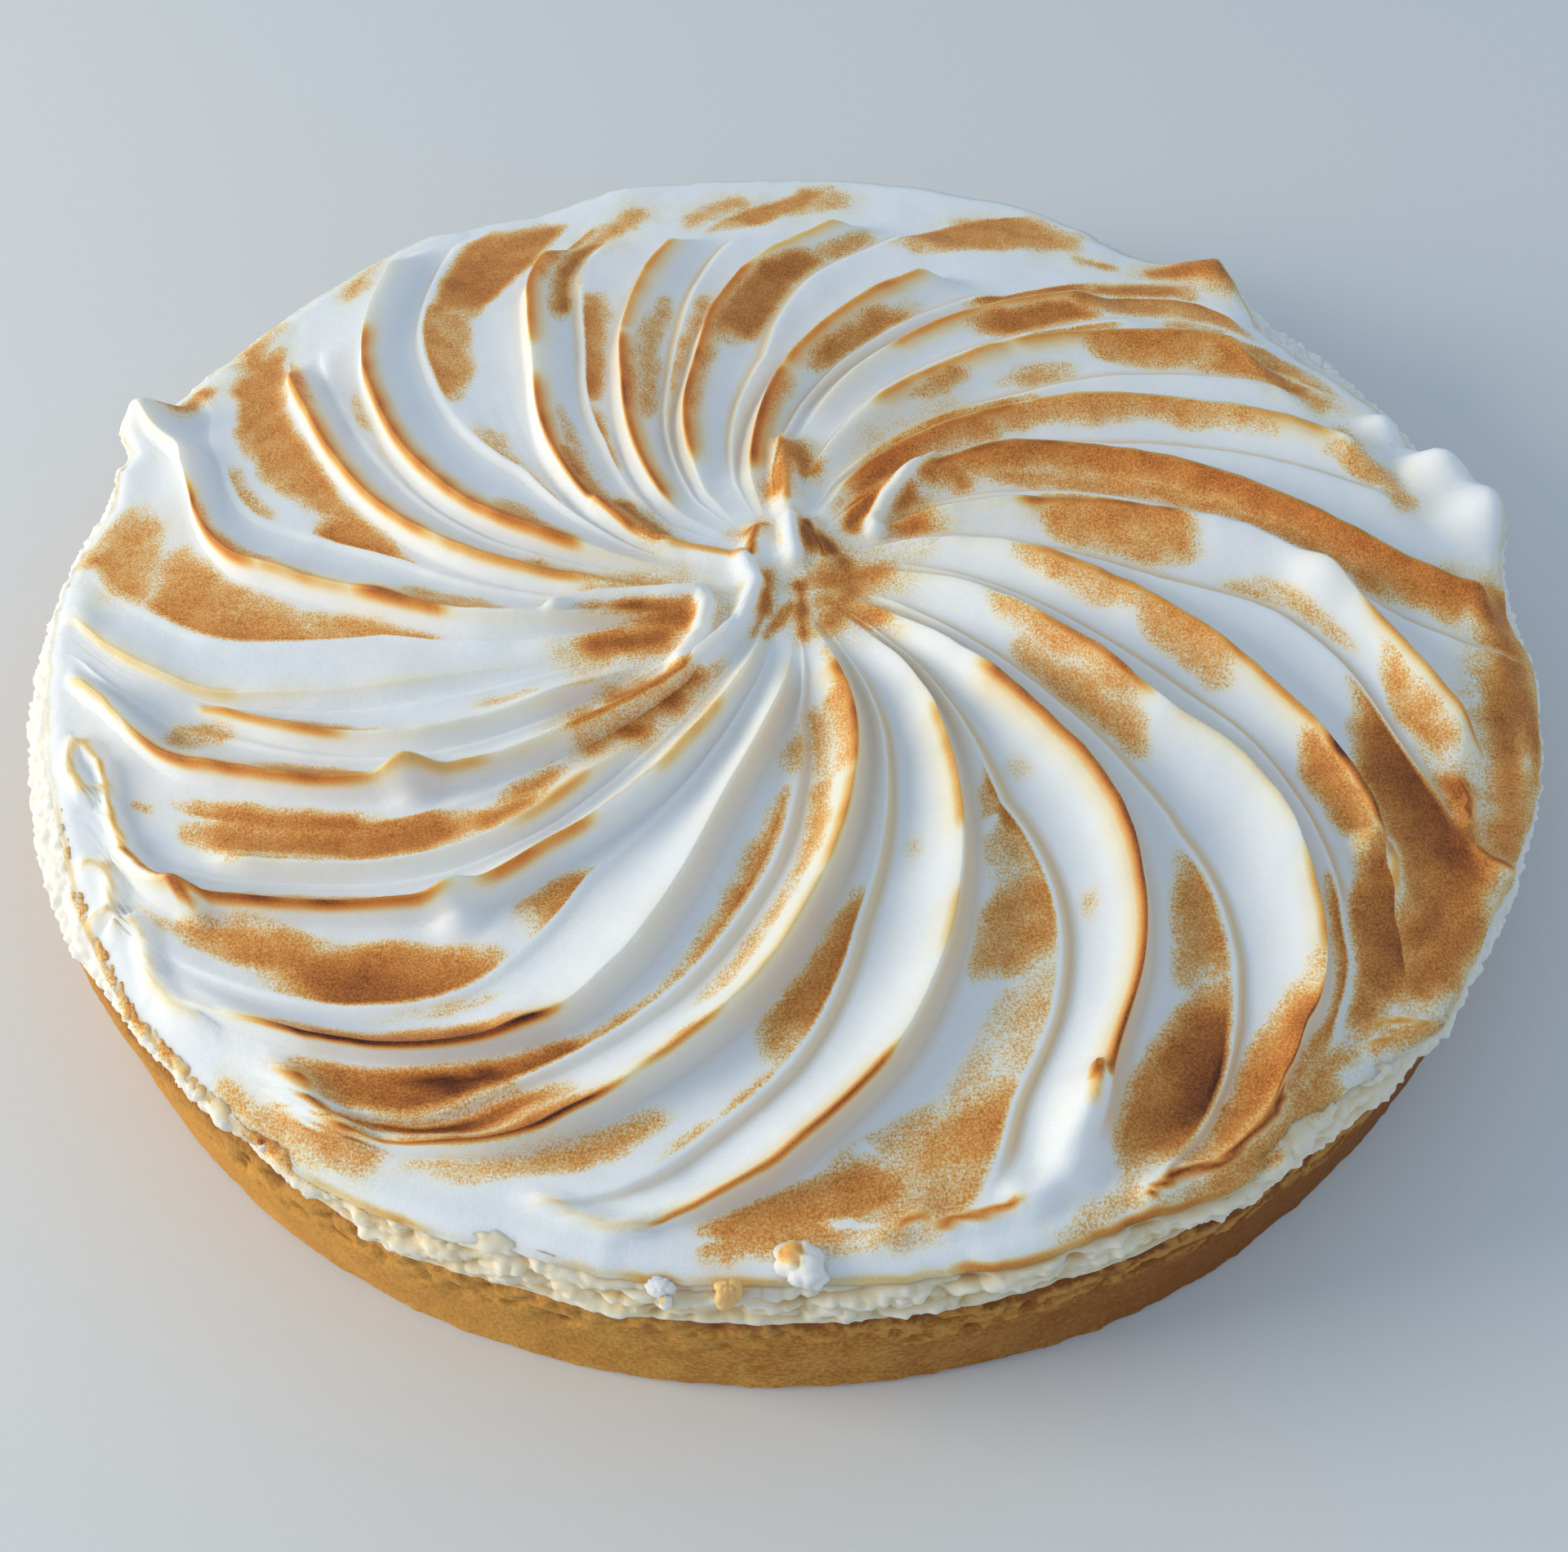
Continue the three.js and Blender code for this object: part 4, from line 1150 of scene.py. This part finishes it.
# %% [markdown]
# ## The finish of baked pastry
#
# Its colour follows the oven: golden low down, redder and darker at the brim, with pale flakes where the
# crust broke. Its pits are darkened as painted shade. It is paler at the left and browner at the right,
# partly from uneven baking and partly as painted light at the left and painted shade at the right. The
# grain is fine noise in both colour and bump.

# %% Mix the pastry's finish
PASTRY_GOLD = (0.42, 0.145, 0.016, 1)
PASTRY_PALE = (0.66, 0.32, 0.065, 1)
PASTRY_BROWN = (0.22, 0.058, 0.009, 1)


def baked_pastry():
    material, tree, shader = new_finish("baked_pastry")
    place = tree.make("ShaderNodeTexCoord", out="Object")
    side, height = (
        tree.make("ShaderNodeSeparateXYZ", None, {"Vector": place}, out=axis) for axis in ("X", "Z"))
    crumb = tree.make("ShaderNodeAttribute", {"attribute_name": "crumb"}, out="Fac")
    grain = speckle(tree, place, 0.7)
    cloud = speckle(tree, place, 7)
    baked = (height + (cloud - 0.5) * (6 * MM)).between(0.82 * CASE_HEIGHT * MM, 1.05 * CASE_HEIGHT * MM)
    flaked = (crumb + (grain - 0.5) * 0.5).between(0.5, 0.95)
    mottled = (grain * 0.6 + cloud * 0.4).between(0.35, 0.65)
    golden = mottled.tint(PASTRY_GOLD, PASTRY_PALE)
    browned = baked.tint(golden, PASTRY_BROWN)
    # Painted light and shade: paler towards the left, which the window lights, and browner towards the
    # right, which stands in shade; partly it is also uneven baking.
    lit = ((0 - side).between(-0.01, 0.05) * 0.6).tint(browned, PASTRY_PALE)
    shaded = (side.between(-0.01, 0.06) * 0.85).tint(lit, PASTRY_BROWN)
    # Painted shade: the deep pits in the crumbly wall are darkened.
    painted_pit_shade = (0.5 - crumb + (grain - 0.5) * 0.3).between(0.1, 0.5)
    colour = (painted_pit_shade * 0.8).tint((flaked * 0.8).tint(shaded, PASTRY_PALE), PASTRY_BROWN)
    tree.plug(shader, {
        "Base Color": colour,
        "Roughness": 0.85 - baked * 0.25,
        "Normal": grain.bump(0.5, 0.5),
        "Specular IOR Level": 0.2,
    })
    return material


pastry_finish = baked_pastry()
case = skin("pastry_wall", case_all, case_faces, {"crumb": case_crumb}, pastry_finish)
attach(case, "root")
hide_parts("pastry_case")
print(f"{case.name} stands for the pastry case")

# %% [markdown]
# ## A pale floor
#
# The tart is shown on a plain pale surface, so that only its own colours count.

# %% Lay the floor
FLOOR_HALF = 3000
FLOOR_COLOUR = (0.74, 0.73, 0.71, 1)

floor_finish, floor_tree, floor_shader = new_finish("plain_floor")
floor_tree.plug(floor_shader, {"Base Color": FLOOR_COLOUR, "Roughness": 0.7})
floor_corners = FLOOR_HALF * np.array([(-1, -1, 0), (1, -1, 0), (1, 1, 0), (-1, 1, 0)])
floor = skin("floor", floor_corners, [np.array([[0, 1, 2, 3]])], {}, floor_finish)
floor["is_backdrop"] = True
print(f"floor {2 * FLOOR_HALF} mm wide")

# %% [markdown]
# ## How far the skin grew
#
# The skin may stand a little proud of the imported solids, but the tart keeps its size. How far its box
# reaches past the imported one is printed.

# %% Print how far the box grew
visual_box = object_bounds()
growth = [round((v - c) / MM, 2) for corners in zip(visual_box, cad_box) for v, c in zip(*corners)]
print("box grew by", growth, "mm")
